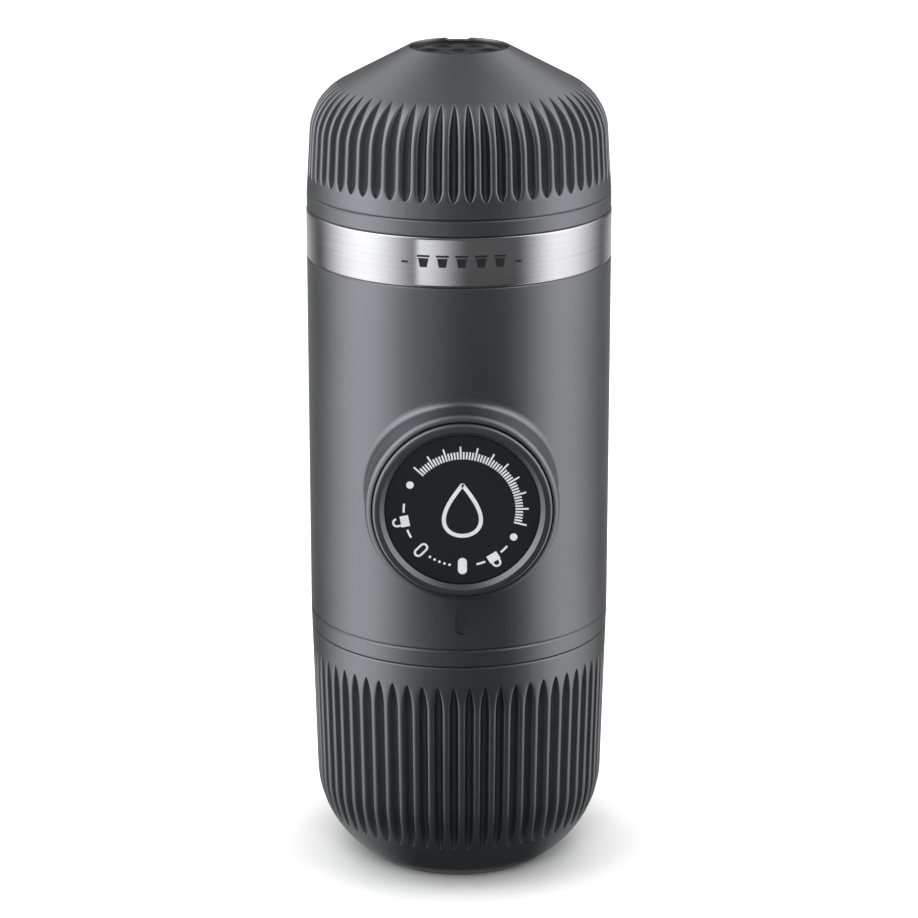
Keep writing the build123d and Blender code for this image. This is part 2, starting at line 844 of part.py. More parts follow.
def make_knob_shell():
    edge = knob_edge
    hub_bore = rod_radius + shaft_gap
    pocket_radius = knob_washer_radius + fit * 2
    side = Line((knob_radius, knob_end_reach), (knob_radius, knob_reach - edge))
    rounding = ThreePointArc(
        side @ 1,
        (knob_radius - edge + edge * cos(radians(45)), knob_reach - edge + edge * sin(radians(45))),
        (knob_radius - edge, knob_reach),
    )
    rest = Polyline(
        rounding @ 1,
        (face_radius + fit + bezel_bevel, knob_reach),
        (face_radius + fit, knob_reach - bezel_bevel),
        (face_radius + fit, face_seat_reach),
        (pocket_radius, face_seat_reach),
        (pocket_radius, hub_outer_reach),
        (hub_bore, hub_outer_reach),
        (hub_bore, hub_inner_reach),
        (hub_radius, hub_inner_reach),
        (hub_radius, knob_inner_reach),
        (knob_inner_radius, knob_inner_reach),
        (knob_inner_radius, knob_end_reach),
        (knob_radius, knob_end_reach),
    )
    shell = revolved(side, rounding, rest)
    lug_section = (
        (lug_tip_radius, knob_end_reach), (knob_inner_radius + fit, knob_end_reach),
        (knob_inner_radius + fit, knob_end_reach + lug_length),
        (lug_tip_radius, knob_end_reach + lug_length),
    )
    lug = turned(*lug_section, arc=lug_angle)
    return in_pump(shell + around(lug, lug_count, first=-lug_angle / 2))


def make_knob_face():
    top = face_seat_reach + face_thickness
    face = disc(face_radius, face_seat_reach, top)
    face = chamfer(face.edges().group_by(Axis.Z)[-1], face_edge)
    return in_pump(face)


def make_knob_washer():
    bottom = hub_outer_reach + seat_gap
    return in_pump(ring(
        knob_screw[2] + screw_gap, knob_washer_radius, bottom, bottom + knob_washer_thickness
    ))


def make_knob_screw():
    seat = hub_outer_reach + seat_gap + knob_washer_thickness
    return in_pump(Pos(0, 0, seat) * screw(knob_screw, knob_screw_length))


# ---------------------------------------------------------------- brew socket and adapter


def make_brew_socket():
    """The threaded socket in the body's top, with the water's way in through its floor."""
    socket = ring(socket_inner_radius, socket_outer_radius, socket_bottom, body_top)
    socket += disc(socket_outer_radius, socket_bottom, socket_floor_top)
    socket += ring(socket_inner_radius, socket_flange_radius, socket_flange_bottom, body_top)
    socket -= Pos(0, duct_y, 0) * disc(duct_radius, socket_bottom, socket_floor_top)
    socket += thread_rings(socket_inner_radius, socket_crest_radius, socket_thread_bottom)
    return socket - at_socket_screws(sunk_hole(socket_screw, socket_screw_length))


def make_socket_screws():
    return Compound(children=at_socket_screws(screw(socket_screw, socket_screw_length)))


def make_brew_gasket():
    outer = socket_inner_radius - fit
    top = socket_floor_top + brew_gasket_thickness
    return ring(outer - brew_gasket_width, outer, socket_floor_top, top)


def make_adapter_neck():
    inner = adapter_neck_radius - adapter_neck_wall
    neck = ring(inner, adapter_neck_radius, adapter_neck_bottom, adapter_flange_top)
    neck += ring(inner, band_seat_radius, body_top, adapter_flange_top)
    crest = adapter_neck_radius + thread_depth
    first = socket_thread_bottom - thread_pitch / 2
    return neck + thread_rings(adapter_neck_radius, crest, first)


def make_adapter_body():
    """The adapter's rim and skirt, with the cup's spigot and the outlet head's thread."""
    edge = seam_chamfer
    skirt_inner = band_seat_radius - adapter_skirt_wall
    spigot_inner = cup_spigot_radius - cup_spigot_wall
    body = turned(
        (skirt_inner, adapter_flange_top),
        (band_seat_radius, adapter_flange_top),
        (band_seat_radius, band_top),
        (rim_radius - edge, band_top),
        (rim_radius, band_top + edge),
        (rim_radius, rim_top - edge),
        (rim_radius - edge, rim_top),
        (cup_spigot_radius, rim_top),
        (cup_spigot_radius, rim_top + cup_spigot_height),
        (spigot_inner, rim_top + cup_spigot_height),
        (spigot_inner, rim_top),
        (head_thread_radius, rim_top),
        (head_thread_radius, head_thread_top),
        (head_thread_inner, head_thread_top),
        (head_thread_inner, chamber_ledge_top),
        (chamber_ledge_radius, chamber_ledge_top),
        (chamber_ledge_radius, deck_underside),
        (skirt_inner, deck_underside),
    )
    crest = head_thread_radius + thread_depth
    first = rim_top + thread_land
    return body + thread_rings(head_thread_radius, crest, first, adapter_thread_count)


def make_steel_band():
    band = ring(band_seat_radius + fit, body_radius, body_top, band_top)
    return fillet(circles_of(band, body_radius), seam_chamfer)


def make_chamber_seal():
    inner = chamber_ledge_radius + fit
    return ring(inner, chamber_flange_radius, chamber_ledge_top, chamber_flange_bottom)


def make_capsule_chamber():
    """The tapered seat of the capsule, hung by its flange, with water holes in its end."""
    mouth = capsule_mouth_radius + chamber_wall
    end = capsule_end_radius + chamber_wall
    chamber = turned(
        (0, chamber_bottom), (end, chamber_bottom), (mouth, chamber_flange_bottom),
        (chamber_flange_radius, chamber_flange_bottom), (chamber_flange_radius, chamber_top),
        (capsule_mouth_radius, chamber_top), (capsule_end_radius, capsule_floor),
        (0, capsule_floor),
    )
    hole = Pos(chamber_hole_ring, 0, 0) * disc(chamber_hole_radius, chamber_bottom, capsule_floor)
    return chamber - around(hole, chamber_hole_count)


def make_needle_plate():
    """A steel plate with hollow-ground needles that pierce the end of the capsule."""
    top = capsule_floor + needle_plate_thickness
    plate = disc(capsule_end_radius - lift_gap, capsule_floor, top)
    hole = Pos(chamber_hole_ring, 0, 0) * disc(chamber_hole_radius, capsule_floor, top)
    plate -= around(hole, chamber_hole_count)
    needle = Pos(needle_ring, 0, top) * Cone(
        needle_base_radius, needle_tip_radius, needle_length, align=from_below
    )
    return plate + around(needle, needle_count, first=180 / chamber_hole_count)


# ---------------------------------------------------------------- outlet head


def make_outlet_head():
    """The threaded cap over the capsule, with a funnel that leads to the spout."""
    cap = disc(head_skirt_radius, head_skirt_bottom, outlet_top)
    cap = fillet(cap.edges().group_by(Axis.Z)[-1], head_round)
    cap += disc(spout_radius, outlet_top - fit, spout_top)
    cap -= disc(head_skirt_inner, head_skirt_bottom, head_face)
    cap -= turned(
        (0, head_face), (funnel_radius, head_face),
        (spout_bore_radius, head_face + funnel_depth), (0, head_face + funnel_depth),
    )
    cap -= disc(spout_bore_radius, head_face, spout_top)
    grip = disc(head_grip_radius, head_skirt_bottom, head_face)
    reach = head_skirt_radius + head_grip_radius - head_grip_depth
    cap -= around(Pos(reach, 0, 0) * grip, head_grip_count)
    crest = head_thread_radius + thread_depth + lift_gap
    first = rim_top + thread_pitch + thread_land
    return cap + thread_rings(head_skirt_inner, crest, first, head_thread_count)


def make_outlet_seal():
    bottom = head_face - head_seal_thickness
    return ring(head_seal_radius - head_seal_width, head_seal_radius, bottom, head_face)


def make_outlet_plate():
    """A perforated plate whose studs tear the capsule's foil."""
    bottom = head_face - outlet_plate_thickness
    plate = disc(outlet_plate_radius, bottom, head_face)
    stud = Pos(0, 0, bottom) * Rot(180, 0, 0) * extrude(
        Rectangle(2 * outlet_stud_half_width, 2 * outlet_stud_half_width),
        outlet_stud_height, taper=outlet_stud_taper
    )
    places = range(-outlet_stud_rows, outlet_stud_rows + 1)
    reach = capsule_mouth_radius - outlet_stud_pitch
    for column in places:
        for row in places:
            place = Vector(column * outlet_stud_pitch, row * outlet_stud_pitch)
            if place.length < reach:
                plate += Pos(place) * stud
                shift = Vector(outlet_stud_pitch / 2, outlet_stud_pitch / 2)
                plate -= Pos(place + shift) * disc(outlet_hole_radius, bottom, head_face)
    return plate


# ---------------------------------------------------------------- cup


def cup_points(wall):
    """The cup's side, shoulder and crown, from the rim up, drawn in by a wall."""
    points = [
        (rim_radius, 0),
        (cup_shoulder_radius, cup_shoulder_height),
        (cup_crown_radius, cup_height),
    ]
    return inset(points, wall)


def cup_form(wall, top):
    """The cup's outer form or its room, cut off level at the top."""
    rim, shoulder, crown = cup_points(wall)
    edge = FilletPolyline(rim, shoulder, crown, radius=cup_shoulder_round - wall)
    form = revolved(edge, Polyline(crown, (0, crown.Y), (0, rim.Y), rim))
    return form & disc(rim_radius, 0, top)


def cup_ribs():
    """Bars for the grooves around the cup, which fade out over its shoulder."""
    lift = groove_radius - groove_depth
    side = Vector(cup_shoulder_radius - rim_radius, cup_shoulder_height).normalized()
    crown = Vector(cup_crown_radius - cup_shoulder_radius, cup_height - cup_shoulder_height)
    turn = side.get_angle(crown)
    to_bend = cup_shoulder_height / side.Y - cup_shoulder_round * tan(radians(turn / 2))
    start = Vector(rim_radius + lift, 0) + side * (cup_groove_bottom + groove_radius)
    bend_start = Vector(rim_radius + lift, 0) + side * to_bend
    bar = groove_bar(
        start, bend_start, cup_groove_sweep, cup_shoulder_round + lift + cup_groove_fade
    )
    return around(bar, rib_count, first=180 / rib_count)


def make_cup_shell():
    shell = cup_form(0, cup_height) - cup_form(cup_wall, crown_floor)
    shell -= disc(crown_recess_radius, crown_recess_floor, cup_height)
    notch = Box(crown_notch_width, cup_crown_radius, crown_notch_depth, align=from_front)
    shell -= Pos(0, 0, cup_height) * notch
    edge = seam_chamfer
    shell -= turned(
        (rim_radius - edge, 0), (rim_radius + edge, 0), (rim_radius + edge, 2 * edge)
    )
    return Pos(0, 0, rim_top) * (shell - cup_ribs())


def make_cup_insert():
    """The gloss disc in the cup's crown, with a plain ring, bars and a button in relief."""
    top = crown_recess_floor + insert_thickness
    relief_top = top + insert_relief_height
    insert = disc(crown_recess_radius - insert_gap, crown_recess_floor, top)
    insert += ring(insert_ring_radius - insert_ring_width, insert_ring_radius, top, relief_top)
    bar = extrude(SlotOverall(insert_bump_length, insert_bump_width), insert_relief_height)
    insert += around(Pos(insert_bump_ring, 0, top) * bar, insert_bump_count)
    insert += disc(insert_button_radius, top, relief_top)
    return Pos(0, 0, rim_top) * insert


# ---------------------------------------------------------------- all sub-parts

makers = {
    "water_tank": make_water_tank,
    "tank_neck": make_tank_neck,
    "tank_gasket": make_tank_gasket,
    "base_collar": make_base_collar,
    "main_body": make_main_body,
    "pump_chassis": make_pump_chassis,
    "chassis_screws": make_chassis_screws,
    "inlet_nozzle": make_inlet_nozzle,
    "inlet_filter": make_inlet_filter,
    "pump_barrel": make_pump_barrel,
    "barrel_seal": make_barrel_seal,
    "gland_bush": make_gland_bush,
    "thrust_washer": make_thrust_washer,
    "pump_head": make_pump_head,
    "head_screws": make_head_screws,
    "inlet_valve": make_inlet_valve,
    "outlet_valve": make_outlet_valve,
    "water_duct": make_water_duct,
    "piston": make_piston,
    "piston_seals": make_piston_seals,
    "plunger_rod": make_plunger_rod,
    "return_spring": make_return_spring,
    "lock_ring": make_lock_ring,
    "lock_screws": make_lock_screws,
    "knob_guide": make_knob_guide,
    "knob_shell": make_knob_shell,
    "knob_face": make_knob_face,
    "knob_washer": make_knob_washer,
    "knob_screw": make_knob_screw,
    "brew_socket": make_brew_socket,
    "socket_screws": make_socket_screws,
    "brew_gasket": make_brew_gasket,
    "adapter_neck": make_adapter_neck,
    "adapter_body": make_adapter_body,
    "steel_band": make_steel_band,
    "chamber_seal": make_chamber_seal,
    "capsule_chamber": make_capsule_chamber,
    "needle_plate": make_needle_plate,
    "outlet_head": make_outlet_head,
    "outlet_seal": make_outlet_seal,
    "outlet_plate": make_outlet_plate,
    "cup_shell": make_cup_shell,
    "cup_insert": make_cup_insert,
}

os.makedirs("parts", exist_ok=True)
for name, make in makers.items():
    export_step(make(), f"parts/{name}.step")
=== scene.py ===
import json
import math

import bmesh
import bpy
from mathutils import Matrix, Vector


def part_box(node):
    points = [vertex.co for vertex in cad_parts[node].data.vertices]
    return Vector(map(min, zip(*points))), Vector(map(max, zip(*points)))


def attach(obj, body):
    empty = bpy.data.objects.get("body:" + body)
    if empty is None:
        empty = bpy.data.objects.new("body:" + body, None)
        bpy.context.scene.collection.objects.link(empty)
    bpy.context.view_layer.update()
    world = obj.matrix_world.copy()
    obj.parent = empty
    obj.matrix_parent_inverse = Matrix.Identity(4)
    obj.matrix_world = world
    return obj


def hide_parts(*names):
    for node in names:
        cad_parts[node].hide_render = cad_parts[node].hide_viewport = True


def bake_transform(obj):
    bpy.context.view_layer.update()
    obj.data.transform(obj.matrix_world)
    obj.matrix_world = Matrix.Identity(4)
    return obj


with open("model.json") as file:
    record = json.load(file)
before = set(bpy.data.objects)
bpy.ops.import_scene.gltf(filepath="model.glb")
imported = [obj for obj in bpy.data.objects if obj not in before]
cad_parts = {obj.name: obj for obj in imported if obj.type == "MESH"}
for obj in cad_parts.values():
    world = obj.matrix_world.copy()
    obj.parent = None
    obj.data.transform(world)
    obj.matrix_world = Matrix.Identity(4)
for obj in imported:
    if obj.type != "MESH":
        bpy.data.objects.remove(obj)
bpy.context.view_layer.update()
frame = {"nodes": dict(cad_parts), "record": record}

# A handheld manual espresso maker, stood on its water tank. Metres; +Z up, the knob faces -Y.
# The studio's angles are azimuths about +Z from -Y, the camera's side, positive to its right.

MM = 0.001

# ---------------------------------------------------------------- sizes, from the frame

TANK_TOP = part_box("water_tank")[1].z
TANK_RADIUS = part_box("water_tank")[1].x
RIM_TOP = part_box("cup_shell")[0].z
CUP_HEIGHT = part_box("cup_shell")[1].z - RIM_TOP
RIM_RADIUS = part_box("cup_shell")[1].x
BAND_LOW, BAND_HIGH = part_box("steel_band")
KNOB_AXIS = (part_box("knob_face")[0].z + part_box("knob_face")[1].z) / 2
KNOB_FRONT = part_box("knob_face")[0].y
SPRING_LOW, SPRING_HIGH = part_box("return_spring")

# Tank
TANK_WALL = 2.4 * MM
TANK_TAPER = 0.85 * MM
HEEL_HEIGHT = 19.0 * MM
FOOT_RADIUS = 18.5 * MM
FOOT_GROOVE = (13.5 * MM, 15.0 * MM, 0.5 * MM)  # inner radius, outer radius, depth
SEAT_RADIUS = 29.5 * MM
SEAT_DEPTH = 2.5 * MM
SEAM_ROUND = 0.35 * MM
HEEL_ROWS = (0.15, 0.3, 0.45, 0.6, 0.75, 0.9, 1.0)  # shares of the bare heel, down to the foot

# Cup
CUP_WALL = 2.4 * MM
CUP_TAPER = 1.15 * MM
SHOULDER_HEIGHT = 19.0 * MM
SHOULDER_ROUND = 11.5 * MM
CROWN_RADIUS = 10.2 * MM
CROWN_EDGE = 0.15 * MM
RECESS_DEPTH = 2.2 * MM
NOTCH_WIDTH = 4.4 * MM
NOTCH_DEPTH = 0.5 * MM
CONE_ROWS = (0.3, 0.8, 1.6, 3.0, 5.0)  # mm up the cone, from the shoulder's round
CROWN_ROWS = (1.0, 0.5, 0.12)  # mm down the cone, from the crown's edge
INNER_STEPS = 8

# Ribs: U-shaped grooves with rounded lips. The half width is a share of the pitch. A run is
# the length over which a groove fades in from its tip, and how blunt it is. The rows of a
# run lie closer together towards the tip.
RIB_COUNT = 60
GROOVE_DEPTH = 1.9 * MM
GROOVE_HALF = 0.26
GROOVE_SQUARENESS = 0.75
GROOVE_ANGLES = (0, 24, 48, 72)
LIP_ROUND = 0.55 * MM
LIP_STEPS = 3
CREST_DROP = 0.03 * MM
LEAST_HALF = 0.06 * MM
ROW_PITCH = 1.0 * MM
RUN_STEPS = 12
RUN_SPACING = 1.5
SUPPORT_GAPS = (0.12 * MM, 0.4 * MM)
TANK_HIGH_TIP = 46.4 * MM
TANK_HIGH_RUN = (6.0 * MM, 0.65)
TANK_LOW_TIP = 9.5 * MM
TANK_LOW_RUN = (5.0 * MM, 0.6)
CUP_LOW_TIP = 3.4 * MM
CUP_LOW_RUN = (2.6 * MM, 0.6)
CUP_HIGH_TIP = 57  # degrees round the shoulder
CUP_HIGH_RUN = (9.4 * MM, 0.7)

# Crown disc: a ring of soft bosses round a button, within a lip
INSERT_RELIEF = 0.35 * MM
INSERT_BOSSES = 6
INSERT_BOSS_RING = 5.8 * MM
INSERT_BOSS_WIDTH = 1.7 * MM
INSERT_LIP = 0.6 * MM
INSERT_BUTTON = 1.6 * MM
INSERT_COLUMNS = 160
INSERT_ROWS = 40

# Steel band and spring
BAND_WALL = 1.5 * MM
BAND_COLUMNS = 256
SPRING_WIRE = 0.6 * MM
SPRING_TURNS = 7

# Prints, on the knob's face and on the band. Angles are degrees, anticlockwise from the
# knob's right as it is seen, and a pair of sizes is a width and a height.
PRINT_RISE = 0.03 * MM
PRINT_SINK = 0.05 * MM
THIN_LINE = 0.42 * MM
MARK_RADIUS = 11.6 * MM
LOCKED_PILL = (1.8 * MM, 3.4 * MM)
UNLOCKED_PILL = (1.4 * MM, 2.9 * MM)
WAY_DOTS = (-123.7, -118.4, -113.2, -107.9, -102.7)
WAY_DOT = 0.27 * MM
ROUND_DOTS = (153, -28.9)
ROUND_DOT = 0.75 * MM
PADLOCKS = ((191, True), (-58, False))  # angle, and whether its bow is lifted
PADLOCK = (2.3 * MM, 1.7 * MM)
PADLOCK_BOW = 0.32  # the bow's radius, as a share of the padlock's width
FLANK_ARC = 9
TICKS = (137, -14, 51)  # first angle, last angle, count
TICK_RADIUS = 10.5 * MM
SHORT_TICK = 1.5 * MM
LONG_TICK = 2.6 * MM
LONG_TICK_EVERY = 5
TICK_WIDTH = 0.34 * MM
DROPLET = (8.0 * MM, 10.6 * MM)
DROPLET_FULLNESS = 0.62
DROPLET_TAPER = 1.2
DROPLET_LINE = 0.8 * MM
CAPSULE_SIGNS = 5
CAPSULE_SIGN = (2.1 * MM, 1.4 * MM, 1.8 * MM)  # width at its rim, width at its end, height
CAPSULE_RIM = 0.6  # half the rim line's length, as a share of the sign's width
CAPSULE_PITCH = 3.8 * MM
DASH = 1.4 * MM

# ---------------------------------------------------------------- camera

CAMERA_DISTANCE = 0.6577
CAMERA_HEIGHT = 0.2824
CAMERA_PITCH = 16.64
CAMERA_AZIMUTH = -1.0
CAMERA_LENS = 128.95
SENSOR_WIDTH = 36.0
CLIP_START = 0.01


def make_camera():
    """The camera looks down at the object's axis, a degree round to its left."""
    data = bpy.data.cameras.new("camera")
    data.lens = CAMERA_LENS
    data.sensor_width = SENSOR_WIDTH
    data.clip_start = CLIP_START
    camera = bpy.data.objects.new("camera", data)
    bpy.context.scene.collection.objects.link(camera)
    turn = math.radians(CAMERA_AZIMUTH)
    camera.location = (
        CAMERA_DISTANCE * math.sin(turn), -CAMERA_DISTANCE * math.cos(turn), CAMERA_HEIGHT)
    camera.rotation_euler = (math.radians(90 - CAMERA_PITCH), 0, turn)
    bpy.context.scene.camera = camera


# ---------------------------------------------------------------- shader helpers


def srgb(red, green, blue):
    """A colour given as 0 to 255 screen values, as Blender's linear RGBA."""
    def linear(value):
        value /= 255
        return value / 12.92 if value <= 0.04045 else ((value + 0.055) / 1.055) ** 2.4
    return (linear(red), linear(green), linear(blue), 1.0)


def add_node(tree, kind, **values):
    """A new node, with its inputs set by name."""
    node = tree.nodes.new(kind)
    for name, value in values.items():
        node.inputs[name].default_value = value
    return node


def calculate(tree, operation, first, second=0.0):
    """A sum, product or other operation on two values, each a number or an output."""
    node = tree.nodes.new("ShaderNodeMath")
    node.operation = operation
    for socket, value in zip(node.inputs, (first, second)):
        if isinstance(value, (int, float)):
            socket.default_value = value
        else:
            tree.links.new(value, socket)
    return node.outputs[0]


def map_range(tree, value, start, end, low, high, smooth=False):
    """A value's run from start to end, mapped to run from low to high."""
    node = tree.nodes.new("ShaderNodeMapRange")
    node.interpolation_type = "SMOOTHSTEP" if smooth else "LINEAR"
    for name, number in (("From Min", start), ("From Max", end), ("To Min", low), ("To Max", high)):
        node.inputs[name].default_value = number
    tree.links.new(value, node.inputs["Value"])
    return node.outputs["Result"]


def object_noise(tree, scale, detail=3.0, stretch=(1, 1, 1)):
    """Noise in the object's own space, with its scale given per metre."""
    place = tree.nodes.new("ShaderNodeTexCoord")
    mapping = add_node(tree, "ShaderNodeMapping", Scale=stretch)
    noise = add_node(tree, "ShaderNodeTexNoise", Scale=scale, Detail=detail)
    tree.links.new(place.outputs["Object"], mapping.inputs["Vector"])
    tree.links.new(mapping.outputs["Vector"], noise.inputs["Vector"])
    return noise.outputs["Fac"]


def ramp(tree, factor, start, end, low, high):
    """A value's run from start to end, as a colour between two RGBA colours."""
    node = tree.nodes.new("ShaderNodeValToRGB")
    node.color_ramp.elements[0].color = low
    node.color_ramp.elements[1].color = high
    node.color_ramp.elements[0].position = start
    node.color_ramp.elements[1].position = end
    tree.links.new(factor, node.inputs["Fac"])
    return node.outputs["Color"]


def bump(tree, shader, height, strength, distance):
    """Relief on a shader, from a height between nought and one."""
    node = add_node(tree, "ShaderNodeBump", Strength=strength, Distance=distance)
    tree.links.new(height, node.inputs["Height"])
    tree.links.new(node.outputs["Normal"], shader.inputs["Normal"])


# ---------------------------------------------------------------- materials

CLOUD_RANGE = (0.3, 0.7)
GRAIN_HEIGHT = 0.1 * MM


def material(name, dark, light, roughness, patch=40.0, grain=None, grain_strength=0.1,
             metallic=0.0, specular=0.5, stretch=(1, 1, 1)):
    """A finish whose colour and roughness vary a little, with a fine grain in relief."""
    made = bpy.data.materials.new(name)
    made.use_nodes = True
    tree = made.node_tree
    shader = tree.nodes["Principled BSDF"]
    shader.inputs["Metallic"].default_value = metallic
    shader.inputs["Specular IOR Level"].default_value = specular
    cloud = object_noise(tree, patch, stretch=stretch)
    tree.links.new(ramp(tree, cloud, *CLOUD_RANGE, dark, light), shader.inputs["Base Color"])
    low, high = roughness
    tree.links.new(
        map_range(tree, cloud, *CLOUD_RANGE, low, high), shader.inputs["Roughness"])
    if grain:
        fine = object_noise(tree, grain, detail=1.0, stretch=stretch)
        bump(tree, shader, fine, grain_strength, GRAIN_HEIGHT)
    return made


def make_materials():
    """The finishes by name: one for each slot of the record, and two for the prints."""
    return {
        "grey_shell": material(
            "grey_shell", srgb(122, 124, 128), srgb(128, 130, 134), (0.36, 0.41),
            grain=5200, grain_strength=0.1, metallic=0.95),
        "steel_band": material(
            "steel_band", srgb(198, 198, 201), srgb(204, 204, 207), (0.12, 0.16),
            patch=60, metallic=1.0, grain=900, grain_strength=0.02, stretch=(1, 1, 40)),
        "gloss_black": material(
            "gloss_black", srgb(12, 12, 13), srgb(17, 17, 18), (0.08, 0.12), specular=0.2),
        "satin_black": material(
            "satin_black", srgb(28, 30, 33), srgb(32, 34, 37), (0.42, 0.48),
            grain=4800, grain_strength=0.08, specular=0.35),
        "dark_plastic": material(
            "dark_plastic", srgb(34, 34, 37), srgb(42, 42, 45), (0.42, 0.52),
            grain=2600, grain_strength=0.2),
        "silicone": material(
            "silicone", srgb(150, 84, 60), srgb(162, 92, 66), (0.48, 0.58),
            grain=1500, grain_strength=0.1),
        "pale_plastic": material(
            "pale_plastic", srgb(214, 212, 204), srgb(224, 222, 214), (0.34, 0.42),
            grain=2000, grain_strength=0.05),
        "stainless": material(
            "stainless", srgb(186, 187, 190), srgb(204, 205, 208), (0.20, 0.32),
            metallic=1.0, grain=1600, grain_strength=0.05),
        "white_print": material(
            "white_print", srgb(222, 223, 225), srgb(232, 233, 235), (0.5, 0.6), patch=300),
        "dark_print": material(
            "dark_print", srgb(30, 30, 32), srgb(38, 38, 40), (0.5, 0.6), patch=300),
    }


def dress_cad_nodes(materials):
    """Give each CAD node the finish of its slot."""
    for part in frame["record"]["subparts"]:
        node = frame["nodes"][part["node"]]
        node.data.materials.clear()
        node.data.materials.append(materials[part["material_slot"]])


# ---------------------------------------------------------------- mesh helpers


def shell_of(rows, closed=False):
    """Points and faces of rings, each joined to the next. A row of a single point is a pole."""
    starts = []
    points = []
    for row in rows:
        starts.append(len(points))
        points.extend(row)
    faces = []
    pairs = list(zip(range(len(rows) - 1), range(1, len(rows))))
    if closed:
        pairs.append((len(rows) - 1, 0))
    for low, high in pairs:
        count = max(len(rows[low]), len(rows[high]))
        for index in range(count):
            after = (index + 1) % count
            if len(rows[low]) == 1:
                corners = (starts[low], starts[high] + after, starts[high] + index)
            elif len(rows[high]) == 1:
                corners = (starts[low] + index, starts[low] + after, starts[high])
            else:
                corners = (starts[low] + index, starts[low] + after,
                           starts[high] + after, starts[high] + index)
            faces.append(corners)
    return points, faces


def piece_from(name, points, faces, smooth):
    """A linked object from points and faces, with its faces turned outwards."""
    mesh = bpy.data.meshes.new(name)
    mesh.from_pydata(points, [], faces)
    work = bmesh.new()
    work.from_mesh(mesh)
    bmesh.ops.recalc_face_normals(work, faces=work.faces)
    work.to_mesh(mesh)
    work.free()
    if smooth:
        mesh.shade_smooth()
    piece = bpy.data.objects.new(name, mesh)
    bpy.context.scene.collection.objects.link(piece)
    return piece


def skin(name, rows, closed=False):
    """A smooth piece of joined rings."""
    return piece_from(name, *shell_of(rows, closed), smooth=True)


def joined(name, shells):
    """A flat-shaded piece of several separate shells."""
    points = []
    faces = []
    for shell_points, shell_faces in shells:
        start = len(points)
        points.extend(shell_points)
        faces.extend(tuple(start + corner for corner in face) for face in shell_faces)
    return piece_from(name, points, faces, smooth=False)


def on_circle(centre, radius, angle):
    """A point on a circle, at an angle in radians from its first axis."""
    return Vector((centre[0] + radius * math.cos(angle), centre[1] + radius * math.sin(angle)))


def rounded_corner(start, corner, end, radius, steps=4, support=0.12 * MM):
    """An arc in place of a corner, with a point just outside each of the arc's ends."""
    corner = Vector(corner)
    before = (Vector(start) - corner).normalized()
    after = (Vector(end) - corner).normalized()
    half = before.angle(after) / 2
    reach = radius / math.tan(half)
    centre = corner + (before + after).normalized() * (radius / math.sin(half))
    arc_start = corner + before * reach
    arc_end = corner + after * reach
    first = math.atan2(arc_start.y - centre.y, arc_start.x - centre.x)
    turn = math.atan2(arc_end.y - centre.y, arc_end.x - centre.x) - first
    turn = (turn + math.pi) % (2 * math.pi) - math.pi
    arc = [on_circle(centre, radius, first + turn * step / steps) for step in range(steps + 1)]
    return [arc_start + before * support] + arc + [arc_end + after * support]


def ring_of(point, columns):
    """The ring of points that one point of a section makes about the vertical axis."""
    return [
        (point[0] * math.cos(angle), point[0] * math.sin(angle), point[1])
        for angle in (2 * math.pi * column / columns for column in range(columns))
    ]


def finish_piece(piece, made, slot, body, *nodes):
    """Give a piece its finish, its body and the CAD nodes that it stands for."""
    piece.data.materials.append(made)
    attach(piece, body)
    if nodes:
        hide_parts(*nodes)


# ---------------------------------------------------------------- ribbed skins


def rib_section(radius, share):
    """Points (sideways, depth) across one rib's pitch, from groove to groove.

    The groove is a U with rounded lips, drawn at a share of its full width and depth.
    """
    pitch = 2 * math.pi * radius / RIB_COUNT
    half = max(GROOVE_HALF * pitch * share, LEAST_HALF)
    depth = GROOVE_DEPTH * share
    lip = max(LIP_ROUND * math.sqrt(share), LEAST_HALF)
    side = []
    for degrees in GROOVE_ANGLES:
        swing = math.radians(degrees)
        across = half * math.sin(swing) ** GROOVE_SQUARENESS
        side.append((across, depth * math.cos(swing) ** GROOVE_SQUARENESS))
    last = side[-1]
    for step in range(1, LIP_STEPS + 1):
        out = step / LIP_STEPS
        across = (1 - out) ** 2 * last[0] + 2 * out * (1 - out) * half + out ** 2 * (half + lip)
        side.append((across, (1 - out) ** 2 * last[1] + out ** 2 * CREST_DROP * share))
    mirrored = [(-across, deep) for across, deep in side[:0:-1]]
    return mirrored + side + [(pitch / 2, 0.0)]


def rib_row(point, normal, share):
    """One ring of a ribbed wall, at a point of its section with its outward normal."""
    section = rib_section(point[0], share)
    ring = []
    for rib in range(RIB_COUNT):
        middle = 2 * math.pi * (rib + 0.5) / RIB_COUNT
        for across, deep in section:
            angle = middle + across / point[0]
            radius = point[0] - deep * normal[0]
            height = point[1] - deep * normal[1]
            ring.append((radius * math.cos(angle), radius * math.sin(angle), height))
    return ring


def plain_rows(points):
    """Rings without grooves, with the columns of a ribbed one."""
    return [rib_row(point, (1.0, 0.0), 0.0) for point in points]


def wall_path(start, bend, centre, radius, turn):
    """A wall's section: a straight run to the bend, then an arc that turns one way or the other.

    Returns the length of the straight run, and the function from a distance to a point of the
    wall and its outward normal.
    """
    along = (bend - start).normalized()
    straight = (bend - start).length
    outward = (bend - centre).normalized()
    first = math.atan2(outward.y, outward.x)

    def place(distance):
        if distance <= straight:
            return start + along * distance, outward
        angle = first + turn * (distance - straight) / radius
        return on_circle(centre, radius, angle), Vector((math.cos(angle), math.sin(angle)))

    return straight, place


def run_out(value, power):
    """A groove's share of its full size, from nought at its tip to one at its run-out's end."""
    return math.sin(math.pi / 2 * min(max(value, 0.0), 1.0)) ** power


